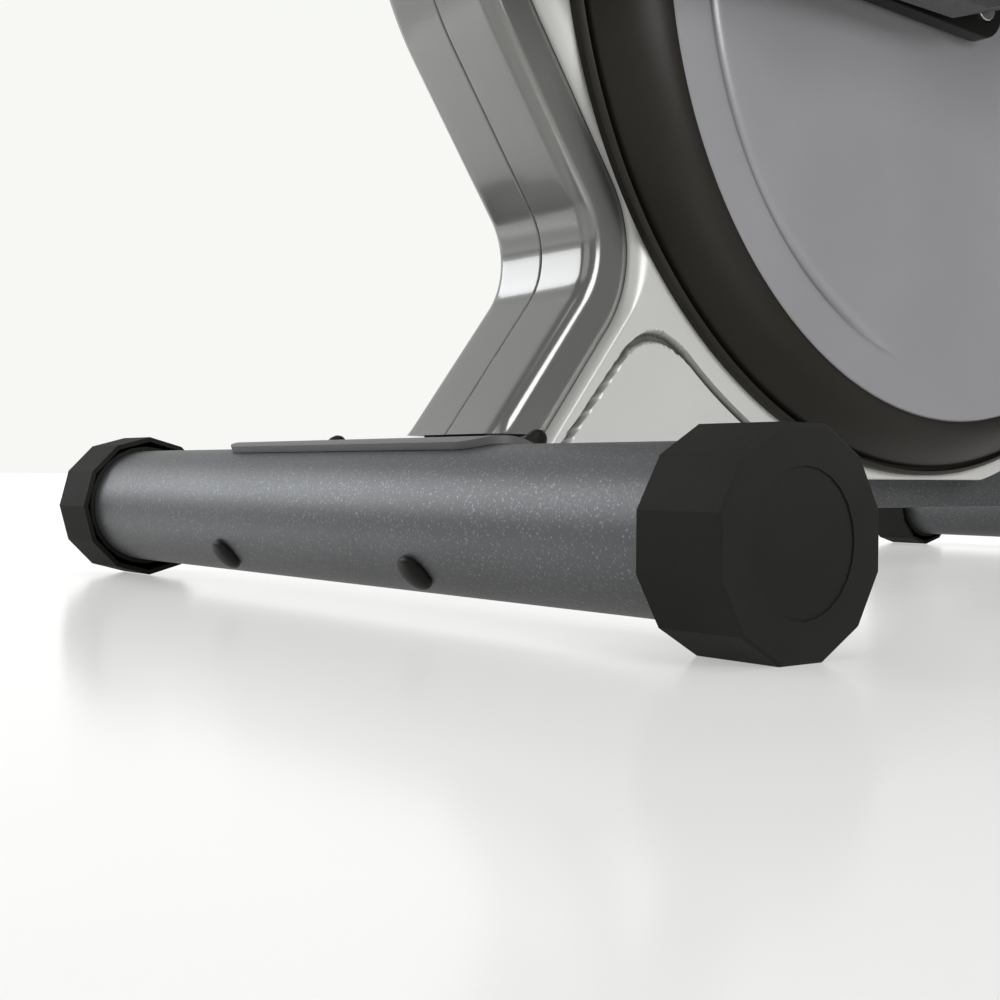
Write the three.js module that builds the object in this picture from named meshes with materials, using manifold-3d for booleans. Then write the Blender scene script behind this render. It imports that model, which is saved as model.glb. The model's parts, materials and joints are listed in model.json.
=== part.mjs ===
// Compact elliptical trainer: bent front post, round drive casing, two cranks, two pedal bars and two swing arms.
// Millimetres, +X forward, +Y to the machine's left, +Z up, floor at z = 0.
// While it is being built x = 0 is the axis of the front stabiliser; the last lines centre the whole machine.
import * as THREE from "three";
import { mergeVertices } from "three/addons/utils/BufferGeometryUtils.js";
import Module from "manifold-3d";

const wasm = await Module();
wasm.setup();

// ---------------------------------------------------------------- driving sizes
const GAP = 0.3; // between touching pieces

const WHEELBASE = 912; // front stabiliser axis to rear stabiliser axis
const TUBE_RADIUS = 38;
const TUBE_WALL = 2;
const STABILISER_HALF = 317.4; // centre to the outer face of an end cap

const CAP_SIDES = 12;
const CAP_RADIUS = 48.43; // to the corners
const CAP_LENGTH = 44.5;
const CAP_END = 6; // thickness of the closed end
const CAP_SKIRT = 3.2; // wall of the twelve-sided skirt
const CAP_SLEEVE = 3; // wall of the inner sleeve round the tube
const CAP_HOLLOW = 34; // depth of the hollow between skirt and sleeve
const CAP_CHAMFER = 1.3;
const CAP_OFFSET = 2.5; // cap centre off the tube axis, which levels the machine
const CAP_DISC_RADIUS = 30.2; // sunk disc in the end face
const CAP_DISC_DEPTH = 0.9;
const RIGHT_CAP_TURN = 75; // degrees that the right caps are turned from the left ones

const PLATE_THICKNESS = 4;
const PLATE_HALF = 133;
const PLATE_CORNER = 20; // radius of the plate's four corners, measured on its curved face
const PLATE_FRONT_ANGLE = 67.5; // degrees from +X round the tube
const PLATE_BACK_ANGLE = 200;
const BOLT_SPREAD = 98; // each bolt from the machine's centre plane
const BOLT_ANGLE = 139; // direction of the bolt from head to nut
const BOLT_RADIUS = 4;
const BOLT_HEAD_RADIUS = 10.5;
const BOLT_HEAD_HEIGHT = 5;
const NUT_FLATS = 13;
const SPACER_HEIGHT = 7; // curved spacer between the plate and each nut's washer
const SPACER_RADIUS = 9.5;
const WASHER_HEIGHT = 1.6;

const POST_HALF_WIDTH = 45.6;
const POST_LEAN_BACK = 37.3; // degrees from upright, lower leg
const POST_LEAN_FORWARD = 34; // degrees from upright, upper leg
const POST_FOOT = { x: -61.9, z: 97.6 }; // a point of the cover's front face near its foot
const POST_COVER_BOTTOM = 95.5;
const POST_BEND_RADIUS = 47.5; // front face, at the knee
const POST_UPPER_BEND_RADIUS = 200;
const POST_FACE_X = -30; // front face above the upper bend
const POST_COVER_TOP = 525;
const POST_COVER_DEPTH = 34;
const COVER_WALL = 2.5;
const CASING_EDGE_DEPTH = 28.5; // front face of the post to the casing's front edge
const POST_TUBE_NEAR = 5; // front face of the cover to the front of the steel tube
const POST_TUBE_FAR = 55;
const POST_TUBE_HALF = 30;
const POST_TUBE_WALL = 2.5;
const POST_TUBE_TOP = 520;

const BEAM_BOTTOM = 50.5;
const BEAM_TOP = 90.5;
const BEAM_HALF = 30;
const BEAM_WALL = 2.5;

const CASING_HALF = 55;
const CASING_BOTTOM = 71;
const CASING_RADIUS = 352;
const CASING_OPENING = 318; // round opening under each ring
const RING_X = -437;
const RING_Z = 413.7;
const RING_RADIUS = 339.7;
const RING_OUTER_Y = 61;
const RING_INNER_Y = 85.5;
const PANEL_RADIUS = 282.7;
const PANEL_BULGE = 3;

const CRANK_Z = 394;
const CRANK_LENGTH = 120;
const CRANK_AXLE_RADIUS = 10;
const CRANK_AXLE_HALF = 106;
const CRANK_ARM_IN = 92;
const CRANK_ARM_OUT = 104;
const CRANK_PIN_RADIUS = 8;
const CRANK_PIN_END = 147;
const SHELL_HALF = 34;
const SHELL_RADIUS = 25;
const BEARING_RADIUS = 21;
const BEARING_WIDTH = 11;
const PULLEY_RADIUS = 125;
const BELT_IN = 41;
const BELT_OUT = 51;
const BELT_THICKNESS = 3;

const FLYWHEEL_X = -290;
const FLYWHEEL_Z = 200;
const FLYWHEEL_RADIUS = 95;
const FLYWHEEL_HALF = 11;
const FLYWHEEL_AXLE_RADIUS = 6;
const DRIVEN_RADIUS = 20; // small pulley on the flywheel
const IDLER_RADIUS = 18;

const PIVOT_X = POST_FACE_X - (POST_TUBE_NEAR + POST_TUBE_FAR) / 2;
const PIVOT_Z = 800;
const MAST_RADIUS = 22;
const MAST_WALL = 2.5;
const MAST_BOTTOM = 445;
const MAST_TOP = 1150;
const SWING_AXLE_RADIUS = 10;
const SWING_AXLE_HALF = 118;
const SWING_LENGTH = 440;
const SWING_BOSS = { in: 76, out: 112 };
const SWING_FOOT = { in: 144, out: 176 };
const ARM_RADIUS = 15;
const ARM_WALL = 2;

const BAR_IN = 113;
const BAR_OUT = 139;
const BAR_HALF_HEIGHT = 20;
const PEDAL = { back: -180, front: 120, inner: 110, outer: 240, height: 34, wall: 4 };

const KNOB_Z = 960;
const CONSOLE_TILT = 52; // degrees, screen from level
const CONSOLE = { x: -72, z: 1196, half: 92, length: 128, depth: 34 };

// ---------------------------------------------------------------- derived sizes
const rad = THREE.MathUtils.degToRad;
const CAP_APOTHEM = CAP_RADIUS * Math.cos(Math.PI / CAP_SIDES);
const AXIS_Z = CAP_APOTHEM + CAP_OFFSET;
const PLATE_INNER = TUBE_RADIUS + GAP;
const PLATE_OUTER = PLATE_INNER + PLATE_THICKNESS;
const TUBE_HALF = STABILISER_HALF - CAP_END - GAP;
const SWING_ANGLE = Math.asin(CRANK_LENGTH / SWING_LENGTH);
const SWING_FOOT_Z = PIVOT_Z - SWING_LENGTH * Math.cos(SWING_ANGLE);
const BAR_REACH = PIVOT_X + CRANK_LENGTH - (RING_X + CRANK_LENGTH);
const BAR_DROP = CRANK_Z - SWING_FOOT_Z;

// ---------------------------------------------------------------- finishes
const finish = (color, roughness, metalness) => new THREE.MeshStandardMaterial({ color, roughness, metalness });
const FINISH = {
  powder: () => finish(0x77797d, 0.45, 0.6),
  blackPlastic: () => finish(0x262624, 0.6, 0),
  blackSteel: () => finish(0x16161a, 0.3, 0.7),
  postPlastic: () => finish(0x74746f, 0.25, 0.4),
  silverPlastic: () => finish(0xc2c2bd, 0.4, 0.3),
  ringPlastic: () => finish(0x38342e, 0.4, 0),
  panelPlastic: () => finish(0x85868a, 0.35, 0.2),
  steel: () => finish(0x9a9ca0, 0.3, 0.9),
  castIron: () => finish(0x55565a, 0.5, 0.8),
  rubber: () => finish(0x141414, 0.9, 0),
  foam: () => finish(0x1c1c1d, 0.95, 0),
  screen: () => finish(0x20262a, 0.1, 0),
};

// ---------------------------------------------------------------- geometry helpers
// A closed geometry as a manifold solid.
function solidOf(geometry) {
  const bare = geometry.clone();
  bare.deleteAttribute("normal");
  bare.deleteAttribute("uv");
  const merged = mergeVertices(bare, 1e-4);
  const index = merged.index.array;
  const triVerts = [];
  for (let i = 0; i < index.length; i += 3) {
    const [a, b, c] = [index[i], index[i + 1], index[i + 2]];
    if (a !== b && b !== c && c !== a) triVerts.push(a, b, c);
  }
  const mesh = new wasm.Mesh({
    numProp: 3,
    vertProperties: new Float32Array(merged.attributes.position.array),
    triVerts: new Uint32Array(triVerts),
  });
  return new wasm.Manifold(mesh);
}

function geometryOf(solid) {
  const mesh = solid.getMesh();
  const geometry = new THREE.BufferGeometry();
  const positions = new Float32Array(mesh.numVert * 3);
  for (let i = 0; i < mesh.numVert; i++) {
    positions.set(mesh.vertProperties.subarray(i * mesh.numProp, i * mesh.numProp + 3), i * 3);
  }
  geometry.setAttribute("position", new THREE.BufferAttribute(positions, 3));
  geometry.setIndex(new THREE.BufferAttribute(mesh.triVerts, 1));
  const flat = geometry.toNonIndexed();
  flat.computeVertexNormals();
  return flat;
}

const join = (...parts) => geometryOf(parts.map(solidOf).reduce((a, b) => a.add(b)));
const cut = (base, ...tools) => geometryOf(tools.map(solidOf).reduce((a, b) => a.subtract(b), solidOf(base)));
const moved = (geometry, x, y, z) => geometry.clone().translate(x, y, z);

// The mirror image across the machine's centre plane, faces still pointing out.
function mirrored(geometry) {
  const flat = geometry.index ? geometry.toNonIndexed() : geometry.clone();
  const p = flat.attributes.position;
  for (let i = 0; i < p.count; i += 3) {
    const corners = [0, 2, 1].map((k) => [p.getX(i + k), -p.getY(i + k), p.getZ(i + k)]);
    corners.forEach((c, k) => p.setXYZ(i + k, ...c));
  }
  flat.computeVertexNormals();
  return flat;
}

// A solid turned about an axis along Y; profile points are [radius, y] from the axis out and back.
function turned(profile, x, z, segments = 24) {
  const points = profile.map(([r, y]) => new THREE.Vector2(r, y));
  return new THREE.LatheGeometry(points, segments).translate(x, 0, z);
}

const rod = (x, z, radius, y0, y1, segments = 16) =>
  turned([[0, y0], [radius, y0], [radius, y1], [0, y1]], x, z, segments);

// Radius of a faceted hole whose flats clear a shaft of the given radius.
const holeRadius = (radius, segments) => (radius + GAP) / Math.cos(Math.PI / segments);
const hole = (x, z, radius, y0, y1, segments = 16) => rod(x, z, holeRadius(radius, segments), y0, y1, segments);

const sleeve = (x, z, inner, outer, y0, y1, segments = 20) =>
  turned([[inner, y0], [outer, y0], [outer, y1], [inner, y1], [inner, y0]], x, z, segments);

// An outline of [x, z] points pushed from y0 to y1.
function slab(points, y0, y1) {
  const shape = new THREE.Shape(points.map(([x, z]) => new THREE.Vector2(x, z)));
  const geometry = new THREE.ExtrudeGeometry(shape, { depth: y1 - y0, bevelEnabled: false });
  return geometry.rotateX(Math.PI / 2).translate(0, y1, 0);
}

function box(x0, x1, y0, y1, z0, z1) {
  const geometry = new THREE.BoxGeometry(x1 - x0, y1 - y0, z1 - z0);
  return geometry.translate((x0 + x1) / 2, (y0 + y1) / 2, (z0 + z1) / 2);
}

// Points of an arc from angle a to angle b, in degrees from +X towards +Z.
function arc(x, z, radius, a, b, steps) {
  return Array.from({ length: steps + 1 }, (_, i) => {
    const t = rad(a + ((b - a) * i) / steps);
    return [x + radius * Math.cos(t), z + radius * Math.sin(t)];
  });
}

// A path of straight runs whose corners are rounded by the given length on each side.
function roundedPath(corners, round) {
  const path = new THREE.CurvePath();
  const points = corners.map((c) => new THREE.Vector3(...c));
  let from = points[0];
  for (let i = 1; i < points.length - 1; i++) {
    const before = points[i].clone().sub(from).normalize().multiplyScalar(-round).add(points[i]);
    const after = points[i + 1].clone().sub(points[i]).normalize().multiplyScalar(round).add(points[i]);
    path.add(new THREE.LineCurve3(from, before));
    path.add(new THREE.QuadraticBezierCurve3(before, points[i], after));
    from = after;
  }
  path.add(new THREE.LineCurve3(from, points.at(-1)));
  return path;
}

// A round tube along a path, hollow when it has a wall.
function tube(path, radius, wall, steps, sides = 12) {
  const section = new THREE.Shape().absarc(0, 0, radius, 0, Math.PI * 2);
  if (wall) section.holes.push(new THREE.Path().absarc(0, 0, radius - wall, 0, Math.PI * 2, true));
  const options = { extrudePath: path, steps, bevelEnabled: false, curveSegments: sides / 2 };
  return new THREE.ExtrudeGeometry(section, options);
}

// Turns a lathe made about Y so that its axis is vertical or along the machine.
const upright = (geometry) => geometry.rotateX(Math.PI / 2);
const lengthwise = (geometry) => geometry.rotateZ(Math.PI / 2);

// ---------------------------------------------------------------- the post's side outline
// The cover's front face from foot to top, as points with the direction of travel.
function postFace(bottom, top) {
  const back = rad(-POST_LEAN_BACK);
  const forward = rad(POST_LEAN_FORWARD);
  const points = [];
  const add = (x, z, lean) => points.push({ x, z, lean });
  const slope = Math.tan(back);
  add(POST_FOOT.x + (bottom - POST_FOOT.z) * slope, bottom, back);
  // The knee's centre lies in front of the face: the lower run ends where it is square to that centre.
  const kneeEndZ = 176.2;
  const kneeX = POST_FOOT.x + (kneeEndZ - POST_FOOT.z) * slope + POST_BEND_RADIUS * Math.cos(back);
  const kneeZ = kneeEndZ - POST_BEND_RADIUS * Math.sin(back);
  const kneeSteps = 9;
  for (let i = 0; i <= kneeSteps; i++) {
    const lean = back + ((forward - back) * i) / kneeSteps;
    add(kneeX - POST_BEND_RADIUS * Math.cos(lean), kneeZ + POST_BEND_RADIUS * Math.sin(lean), lean);
  }
  const last = points.at(-1);
  const runX = POST_FACE_X - POST_UPPER_BEND_RADIUS * (1 - Math.cos(forward)) - last.x;
  const bendZ = last.z + runX / Math.tan(forward);
  const centreX = POST_FACE_X - POST_UPPER_BEND_RADIUS;
  const centreZ = bendZ + POST_UPPER_BEND_RADIUS * Math.sin(forward);
  const upperSteps = 6;
  for (let i = 0; i <= upperSteps; i++) {
    const lean = forward * (1 - i / upperSteps);
    const reach = POST_UPPER_BEND_RADIUS;
    add(centreX + reach * Math.cos(lean), centreZ - reach * Math.sin(lean), lean);
  }
  add(POST_FACE_X, top, 0);
  return points;
}

// The same line a distance behind the front face.
const behind = (points, depth) =>
  points.map(({ x, z, lean }) => [x - depth * Math.cos(lean), z + depth * Math.sin(lean)]);

// The band between two depths behind the front face, run on past both ends by a little when it is a cutter.
function postBand(near, far, bottom, top) {
  const points = postFace(bottom, top);
  return [...behind(points, near), ...behind(points, far).reverse()];
}

// ---------------------------------------------------------------- stabilisers
function stabiliserTube(x, boltSide) {
  const half = TUBE_HALF;
  const inner = TUBE_RADIUS - TUBE_WALL;
  const plain = sleeve(x, AXIS_Z, inner, TUBE_RADIUS, -half, half, 32);
  return cut(plain, ...[-1, 1].map((side) => boltHole(x, side * BOLT_SPREAD, boltSide)));
}

// Direction of a saddle bolt in the x-z plane; the rear pair is the front pair's mirror image.
function boltDirection(boltSide) {
  const angle = rad(BOLT_ANGLE);
  return { x: boltSide * Math.cos(angle), z: Math.sin(angle) };
}

// Places a solid turned about Y so that its axis is the bolt's, from head (low) to nut (high).
function onBolt(geometry, x, y, boltSide) {
  const d = boltDirection(boltSide);
  const turn = new THREE.Quaternion().setFromUnitVectors(
    new THREE.Vector3(0, 1, 0),
    new THREE.Vector3(d.x, 0, d.z),
  );
  return geometry.applyQuaternion(turn).translate(x, y, AXIS_Z);
}

const boltHole = (x, y, boltSide) =>
  onBolt(hole(0, 0, BOLT_RADIUS, -TUBE_RADIUS * 1.3, TUBE_RADIUS * 1.3), x, y, boltSide);

function carriageBolt(x, y, boltSide) {
  const base = -TUBE_RADIUS - GAP;
  const tip = base - BOLT_HEAD_HEIGHT;
  const end = PLATE_OUTER + SPACER_HEIGHT + 12;
  const profile = [
    [0, tip],
    [BOLT_HEAD_RADIUS * 0.5, tip + 0.6],
    [BOLT_HEAD_RADIUS * 0.85, tip + 2.2],
    [BOLT_HEAD_RADIUS, base - 0.8],
    [BOLT_HEAD_RADIUS, base],
    [BOLT_RADIUS, base],
    [BOLT_RADIUS, end],
    [0, end],
  ];
  return onBolt(turned(profile, 0, 0, 14), x, y, boltSide);
}

// A dome nut with its washer and a spacer whose underside is hollowed to sit on the plate.
function domeNut(x, y, boltSide) {
  const base = PLATE_OUTER + GAP + SPACER_HEIGHT + WASHER_HEIGHT;
  const dome = [
    [0, base + 4],
    [5.8, base + 4],
    [5.8, base + 12],
    [4.6, base + 15.5],
    [2.5, base + 17.5],
    [0, base + 18.2],
  ];
  const spacer = rod(0, 0, SPACER_RADIUS, PLATE_OUTER - 3, base + 0.4, 14);
  const hexagon = rod(0, 0, NUT_FLATS / 2 / Math.cos(Math.PI / 6), base, base + 8, 6);
  const bore = hole(0, 0, BOLT_RADIUS, PLATE_OUTER - 4, base + 13, 12);
  const nut = onBolt(cut(join(spacer, hexagon, turned(dome, 0, 0, 12)), bore), x, y, boltSide);
  const plateSpace = rod(x, AXIS_Z, PLATE_OUTER + GAP, y - SPACER_RADIUS - 2, y + SPACER_RADIUS + 2, 96);
  return cut(nut, plateSpace);
}

// What one corner of a saddle plate loses: a block less a round plug that stands square to the plate.
// The block lies on the side of the plug that the nearby edge is on; at is the plug's angle round the tube.
function cornerWaste(x, at, edgeSide) {
  const reach = PLATE_CORNER + 6;
  const [x0, x1] = edgeSide > 0 ? [0, reach] : [-reach, 0];
  const block = box(x0, x1, 0, reach, PLATE_INNER / 2, PLATE_OUTER + 5);
  const plug = new THREE.CylinderGeometry(PLATE_CORNER, PLATE_CORNER, 3 * PLATE_OUTER, 32);
  const waste = cut(block, plug.rotateX(Math.PI / 2));
  return waste.rotateY(rad(90 - at)).translate(x, PLATE_HALF - PLATE_CORNER, AXIS_Z);
}

function plateCorners(x, boltSide) {
  const inset = THREE.MathUtils.radToDeg(PLATE_CORNER / PLATE_INNER);
  const angle = (a) => (boltSide > 0 ? a : 180 - a);
  const front = cornerWaste(x, angle(PLATE_FRONT_ANGLE + inset), boltSide);
  const back = cornerWaste(x, angle(PLATE_BACK_ANGLE - inset), -boltSide);
  return [front, back, mirrored(front), mirrored(back)];
}

function saddlePlate(x, boltSide) {
  const angle = (a) => (boltSide > 0 ? a : 180 - a);
  const [a, b] = [angle(PLATE_FRONT_ANGLE), angle(PLATE_BACK_ANGLE)];
  const outline = [...arc(x, AXIS_Z, PLATE_OUTER, a, b, 14), ...arc(x, AXIS_Z, PLATE_INNER, b, a, 14)];
  const holes = [-1, 1].map((side) => boltHole(x, side * BOLT_SPREAD, boltSide));
  return cut(slab(outline, -PLATE_HALF, PLATE_HALF), ...holes, ...plateCorners(x, boltSide));
}

// The cap at the machine's left end; turn is how far it has been turned on the tube, in degrees.
function endCap(x, side, turn) {
  const face = STABILISER_HALF;
  const mouth = face - CAP_LENGTH;
  const prism = (radius, y0, y1, chamfer) =>
    turned([[0, y0], [radius, y0], [radius, y1 - chamfer], [radius - chamfer, y1], [0, y1]], 0, 0, CAP_SIDES);
  const drop = (geometry) => geometry.rotateY(Math.PI / CAP_SIDES).translate(0, 0, -CAP_OFFSET);
  const body = drop(prism(CAP_RADIUS, mouth, face, CAP_CHAMFER));
  const hollow = drop(prism(CAP_RADIUS - CAP_SKIRT, mouth - 1, mouth + CAP_HOLLOW, 0.01));
  const core = rod(0, 0, TUBE_RADIUS + CAP_SLEEVE, mouth - 2, face, 24);
  const bore = hole(0, 0, TUBE_RADIUS, mouth - 2, face - CAP_END, 32);
  const disc = moved(rod(0, 0, CAP_DISC_RADIUS, face - CAP_DISC_DEPTH, face + 1, 24), 0, 0, -CAP_OFFSET);
  const cap = cut(body, cut(hollow, core), bore, disc);
  cap.rotateY(rad(turn)).translate(x, 0, AXIS_Z);
  return side > 0 ? cap : mirrored(cap);
}

// ---------------------------------------------------------------- frame
function mainBeam() {
  const outer = box(-WHEELBASE, 0, -BEAM_HALF, BEAM_HALF, BEAM_BOTTOM, BEAM_TOP);
  const w = BEAM_WALL;
  const inner = box(-WHEELBASE - 1, 1, w - BEAM_HALF, BEAM_HALF - w, BEAM_BOTTOM + w, BEAM_TOP - w);
  const ends = [0, -WHEELBASE].map((x) => hole(x, AXIS_Z, PLATE_OUTER, -BEAM_HALF - 1, BEAM_HALF + 1, 40));
  const nose = box(-16, 1, -BEAM_HALF - 1, BEAM_HALF + 1, 0, 200);
  const tail = box(-WHEELBASE - 1, 16 - WHEELBASE, -BEAM_HALF - 1, BEAM_HALF + 1, 0, 200);
  return cut(outer, inner, ...ends, nose, tail);
}

function postTube() {
  const w = POST_TUBE_WALL;
  const outer = slab(postBand(POST_TUBE_NEAR, POST_TUBE_FAR, 30, POST_TUBE_TOP), -POST_TUBE_HALF, POST_TUBE_HALF);
  const bore = postBand(POST_TUBE_NEAR + w, POST_TUBE_FAR - w, 20, POST_TUBE_TOP + 10);
  const inner = slab(bore, w - POST_TUBE_HALF, POST_TUBE_HALF - w);
  const foot = box(-400, 100, -60, 60, -60, BEAM_TOP + GAP);
  const cableHole = box(-100, PIVOT_X, -9, 9, 376, 406);
  return cut(outer, inner, foot, cableHole);
}

// Upright with the crank shell on top, fork plates for the flywheel and a lug for the brake bracket.
const BRAKE_PIVOT = { x: -397, z: 262 };
const IDLER_PIVOT = { x: -445, z: 233 };
function crankFrame() {
  const upright = box(RING_X - 25, RING_X + 25, -20, 20, BEAM_TOP + GAP, CRANK_Z - 10);
  const shell = rod(RING_X, CRANK_Z, SHELL_RADIUS, -SHELL_HALF, SHELL_HALF, 32);
  const bore = hole(RING_X, CRANK_Z, BEARING_RADIUS, -SHELL_HALF - 1, SHELL_HALF + 1, 32);
  const floor = BEAM_TOP + GAP;
  const foot = box(RING_X, FLYWHEEL_X + 30, -26, 26, floor, floor + 6);
  const forks = [-26, 20].map((y) => box(FLYWHEEL_X - 22, FLYWHEEL_X + 22, y, y + 6, floor, FLYWHEEL_Z + 24));
  const wells = [
    hole(FLYWHEEL_X, FLYWHEEL_Z, FLYWHEEL_AXLE_RADIUS, -30, 0),
    rod(FLYWHEEL_X, FLYWHEEL_Z, 16, 0, 30, 20),
  ];
  const lug = box(RING_X + 20, BRAKE_PIVOT.x + 8, -5, 5, BRAKE_PIVOT.z - 8, BRAKE_PIVOT.z + 8);
  const pin = rod(BRAKE_PIVOT.x, BRAKE_PIVOT.z, 4, -5, 16, 16);
  const stud = rod(IDLER_PIVOT.x, IDLER_PIVOT.z, 5, 15, 31, 16);
  return cut(join(upright, shell, foot, ...forks, lug, pin, stud), bore, ...wells);
}

function mast() {
  const r = MAST_RADIUS;
  const shaft = upright(sleeve(0, 0, r - MAST_WALL, r, MAST_BOTTOM, MAST_TOP, 28)).translate(PIVOT_X, 0, 0);
  const arms = cut(
    rod(PIVOT_X, PIVOT_Z, 17, -SWING_BOSS.in + 4, SWING_BOSS.in - 4, 24),
    upright(rod(0, 0, r - 1, PIVOT_Z - 60, PIVOT_Z + 60, 28)).translate(PIVOT_X, 0, 0),
  );
  const bore = hole(PIVOT_X, PIVOT_Z, SWING_AXLE_RADIUS, -100, 100, 20);
  const knobHole = lengthwise(rod(0, 0, 4.5, 15, 40, 12)).translate(PIVOT_X, 0, KNOB_Z);
  const whole = solidOf(shaft).add(solidOf(arms));
  return cut(geometryOf(whole), bore, knobHole);
}

// ---------------------------------------------------------------- covers
function postCover() {
  const [bottom, top] = [POST_COVER_BOTTOM, POST_COVER_TOP];
  const outer = slab(postBand(0, POST_COVER_DEPTH, 40, top), GAP, POST_HALF_WIDTH);
  const hollow = postBand(COVER_WALL, POST_COVER_DEPTH + 5, 20, top + 10);
  const foot = box(-300, 100, -60, 60, 0, bottom);
  return cut(outer, slab(hollow, -1, POST_HALF_WIDTH - COVER_WALL), foot);
}

function mastCollar() {
  const outline = [[POST_FACE_X + 2, 527], [POST_FACE_X + 2, 540], [-42, 562], [-78, 562], [-94, 540], [-94, 527]];
  const block = slab(outline, -POST_HALF_WIDTH - 2, POST_HALF_WIDTH + 2);
  const opening = upright(hole(0, 0, MAST_RADIUS, 500, 600, 28)).translate(PIVOT_X, 0, 0);
  return cut(block, opening);
}

// The casing's side outline, inset by a distance.
function casingOutline(inset) {
  const face = postFace(CASING_BOTTOM, 535);
  const front = behind(face, CASING_EDGE_DEPTH + inset);
  const foot = front.findIndex(([, z]) => z > CASING_BOTTOM + 20);
  const slope = Math.tan(rad(-POST_LEAN_BACK));
  const start = [front[foot][0] + (CASING_BOTTOM + inset - front[foot][1]) * slope, CASING_BOTTOM + inset];
  const radius = CASING_RADIUS - inset;
  const crown = { x: front.at(-1)[0] - 6, z: 545 };
  const reach = Math.hypot(crown.x - RING_X, crown.z - RING_Z);
  const touch = Math.atan2(crown.z - RING_Z, crown.x - RING_X) + Math.acos(radius / reach);
  const low = Math.PI + Math.asin((RING_Z - CASING_BOTTOM - inset) / radius);
  const round = arc(RING_X, RING_Z, radius, THREE.MathUtils.radToDeg(touch), THREE.MathUtils.radToDeg(low), 40);
  return [start, ...front.slice(foot), [crown.x, crown.z - inset], ...round];
}

function casing() {
  const outer = slab(casingOutline(0), GAP, CASING_HALF);
  const inner = slab(casingOutline(COVER_WALL), -1, CASING_HALF - COVER_WALL);
  const postRoom = slab(postBand(-10, POST_COVER_DEPTH + 6, 20, 620), -1, POST_HALF_WIDTH + GAP);
  const opening = rod(RING_X, RING_Z, CASING_OPENING, 20, 80, 48);
  const beamRoom = box(-900, 0, -1, BEAM_HALF + 1, 40, BEAM_TOP + 1);
  const collarRoom = box(-96, 0, -1, POST_HALF_WIDTH + 3, 515, 620);
  return cut(outer, inner, postRoom, opening, beamRoom, collarRoom);
}

// A dished ring between the casing's side and the round panel, thicker at the top than at the bottom.
function ringCover() {
  const steps = 48;
  const drop = RING_Z - CRANK_Z;
  const base = CASING_HALF + GAP;
  const loops = [
    { radius: RING_RADIUS, y: base, z: RING_Z },
    { radius: RING_RADIUS - 2.5, y: RING_OUTER_Y, z: RING_Z },
    { radius: PANEL_RADIUS, y: RING_INNER_Y, z: RING_Z - drop },
    { radius: PANEL_RADIUS, y: RING_INNER_Y - 3, z: RING_Z - drop },
    { radius: RING_RADIUS - 7, y: base, z: RING_Z },
  ];
  const at = ({ radius, y, z }, i) => {
    const t = (2 * Math.PI * i) / steps;
    return [RING_X + radius * Math.cos(t), y, z + radius * Math.sin(t)];
  };
  const positions = [];
  loops.forEach((loop, k) => {
    const next = loops[(k + 1) % loops.length];
    for (let i = 0; i < steps; i++) {
      const [a, b, c, d] = [at(loop, i), at(loop, i + 1), at(next, i + 1), at(next, i)];
      positions.push(...a, ...c, ...b, ...a, ...d, ...c);
    }
  });
  const geometry = new THREE.BufferGeometry();
  geometry.setAttribute("position", new THREE.Float32BufferAttribute(positions, 3));
  geometry.computeVertexNormals();
  return geometry;
}

function sidePanel() {
  const edge = PANEL_RADIUS - GAP;
  const [y, hub, wall] = [RING_INNER_Y - 0.6, 15, COVER_WALL];
  const profile = [
    [hub, y + PANEL_BULGE - wall],
    [120, y + PANEL_BULGE * 0.85 - wall],
    [edge, y - wall],
    [edge, y],
    [120, y + PANEL_BULGE * 0.85],
    [hub, y + PANEL_BULGE],
    [hub, y + PANEL_BULGE - wall],
  ];
  return turned(profile, RING_X, CRANK_Z, 48);
}

// ---------------------------------------------------------------- drive
function crankArm() {
  const eye = arc(RING_X, CRANK_Z, 21, 90, 270, 12);
  const tip = arc(RING_X + CRANK_LENGTH, CRANK_Z, 17, -90, 90, 12);
  const arm = slab([...eye, ...tip], CRANK_ARM_IN, CRANK_ARM_OUT);
  const pin = rod(RING_X + CRANK_LENGTH, CRANK_Z, CRANK_PIN_RADIUS, CRANK_ARM_OUT - 2, CRANK_PIN_END, 20);
  const head = rod(RING_X + CRANK_LENGTH, CRANK_Z, 13, BAR_OUT + 1, CRANK_PIN_END, 20);
  return cut(join(arm, pin, head), hole(RING_X, CRANK_Z, CRANK_AXLE_RADIUS, 80, 120, 24));
}

function crankPulley() {
  const hub = holeRadius(CRANK_AXLE_RADIUS, 32);
  const profile = [
    [hub, SHELL_HALF + 2],
    [24, SHELL_HALF + 2],
    [24, 44],
    [PULLEY_RADIUS - 12, 44],
    [PULLEY_RADIUS - 12, BELT_IN - 1],
    [PULLEY_RADIUS, BELT_IN - 1],
    [PULLEY_RADIUS, BELT_OUT + 1],
    [PULLEY_RADIUS - 12, BELT_OUT + 1],
    [PULLEY_RADIUS - 12, 48],
    [24, 48],
    [24, 56],
    [hub, 56],
    [hub, SHELL_HALF + 2],
  ];
  return turned(profile, RING_X, CRANK_Z, 32);
}

// The belt's loop round both pulleys at a clearance from them.
function beltLoop(clearance) {
  const [dx, dz] = [FLYWHEEL_X - RING_X, FLYWHEEL_Z - CRANK_Z];
  const along = THREE.MathUtils.radToDeg(Math.atan2(dz, dx));
  const spread = THREE.MathUtils.radToDeg(Math.acos((PULLEY_RADIUS - DRIVEN_RADIUS) / Math.hypot(dx, dz)));
  const large = arc(RING_X, CRANK_Z, PULLEY_RADIUS + clearance, along + spread, along + 360 - spread, 36);
  const small = arc(FLYWHEEL_X, FLYWHEEL_Z, DRIVEN_RADIUS + clearance, along - spread, along + spread, 12);
  return [...large, ...small];
}

const driveBelt = () =>
  cut(slab(beltLoop(GAP + BELT_THICKNESS), BELT_IN, BELT_OUT), slab(beltLoop(GAP), BELT_IN - 1, BELT_OUT + 1));

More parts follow.
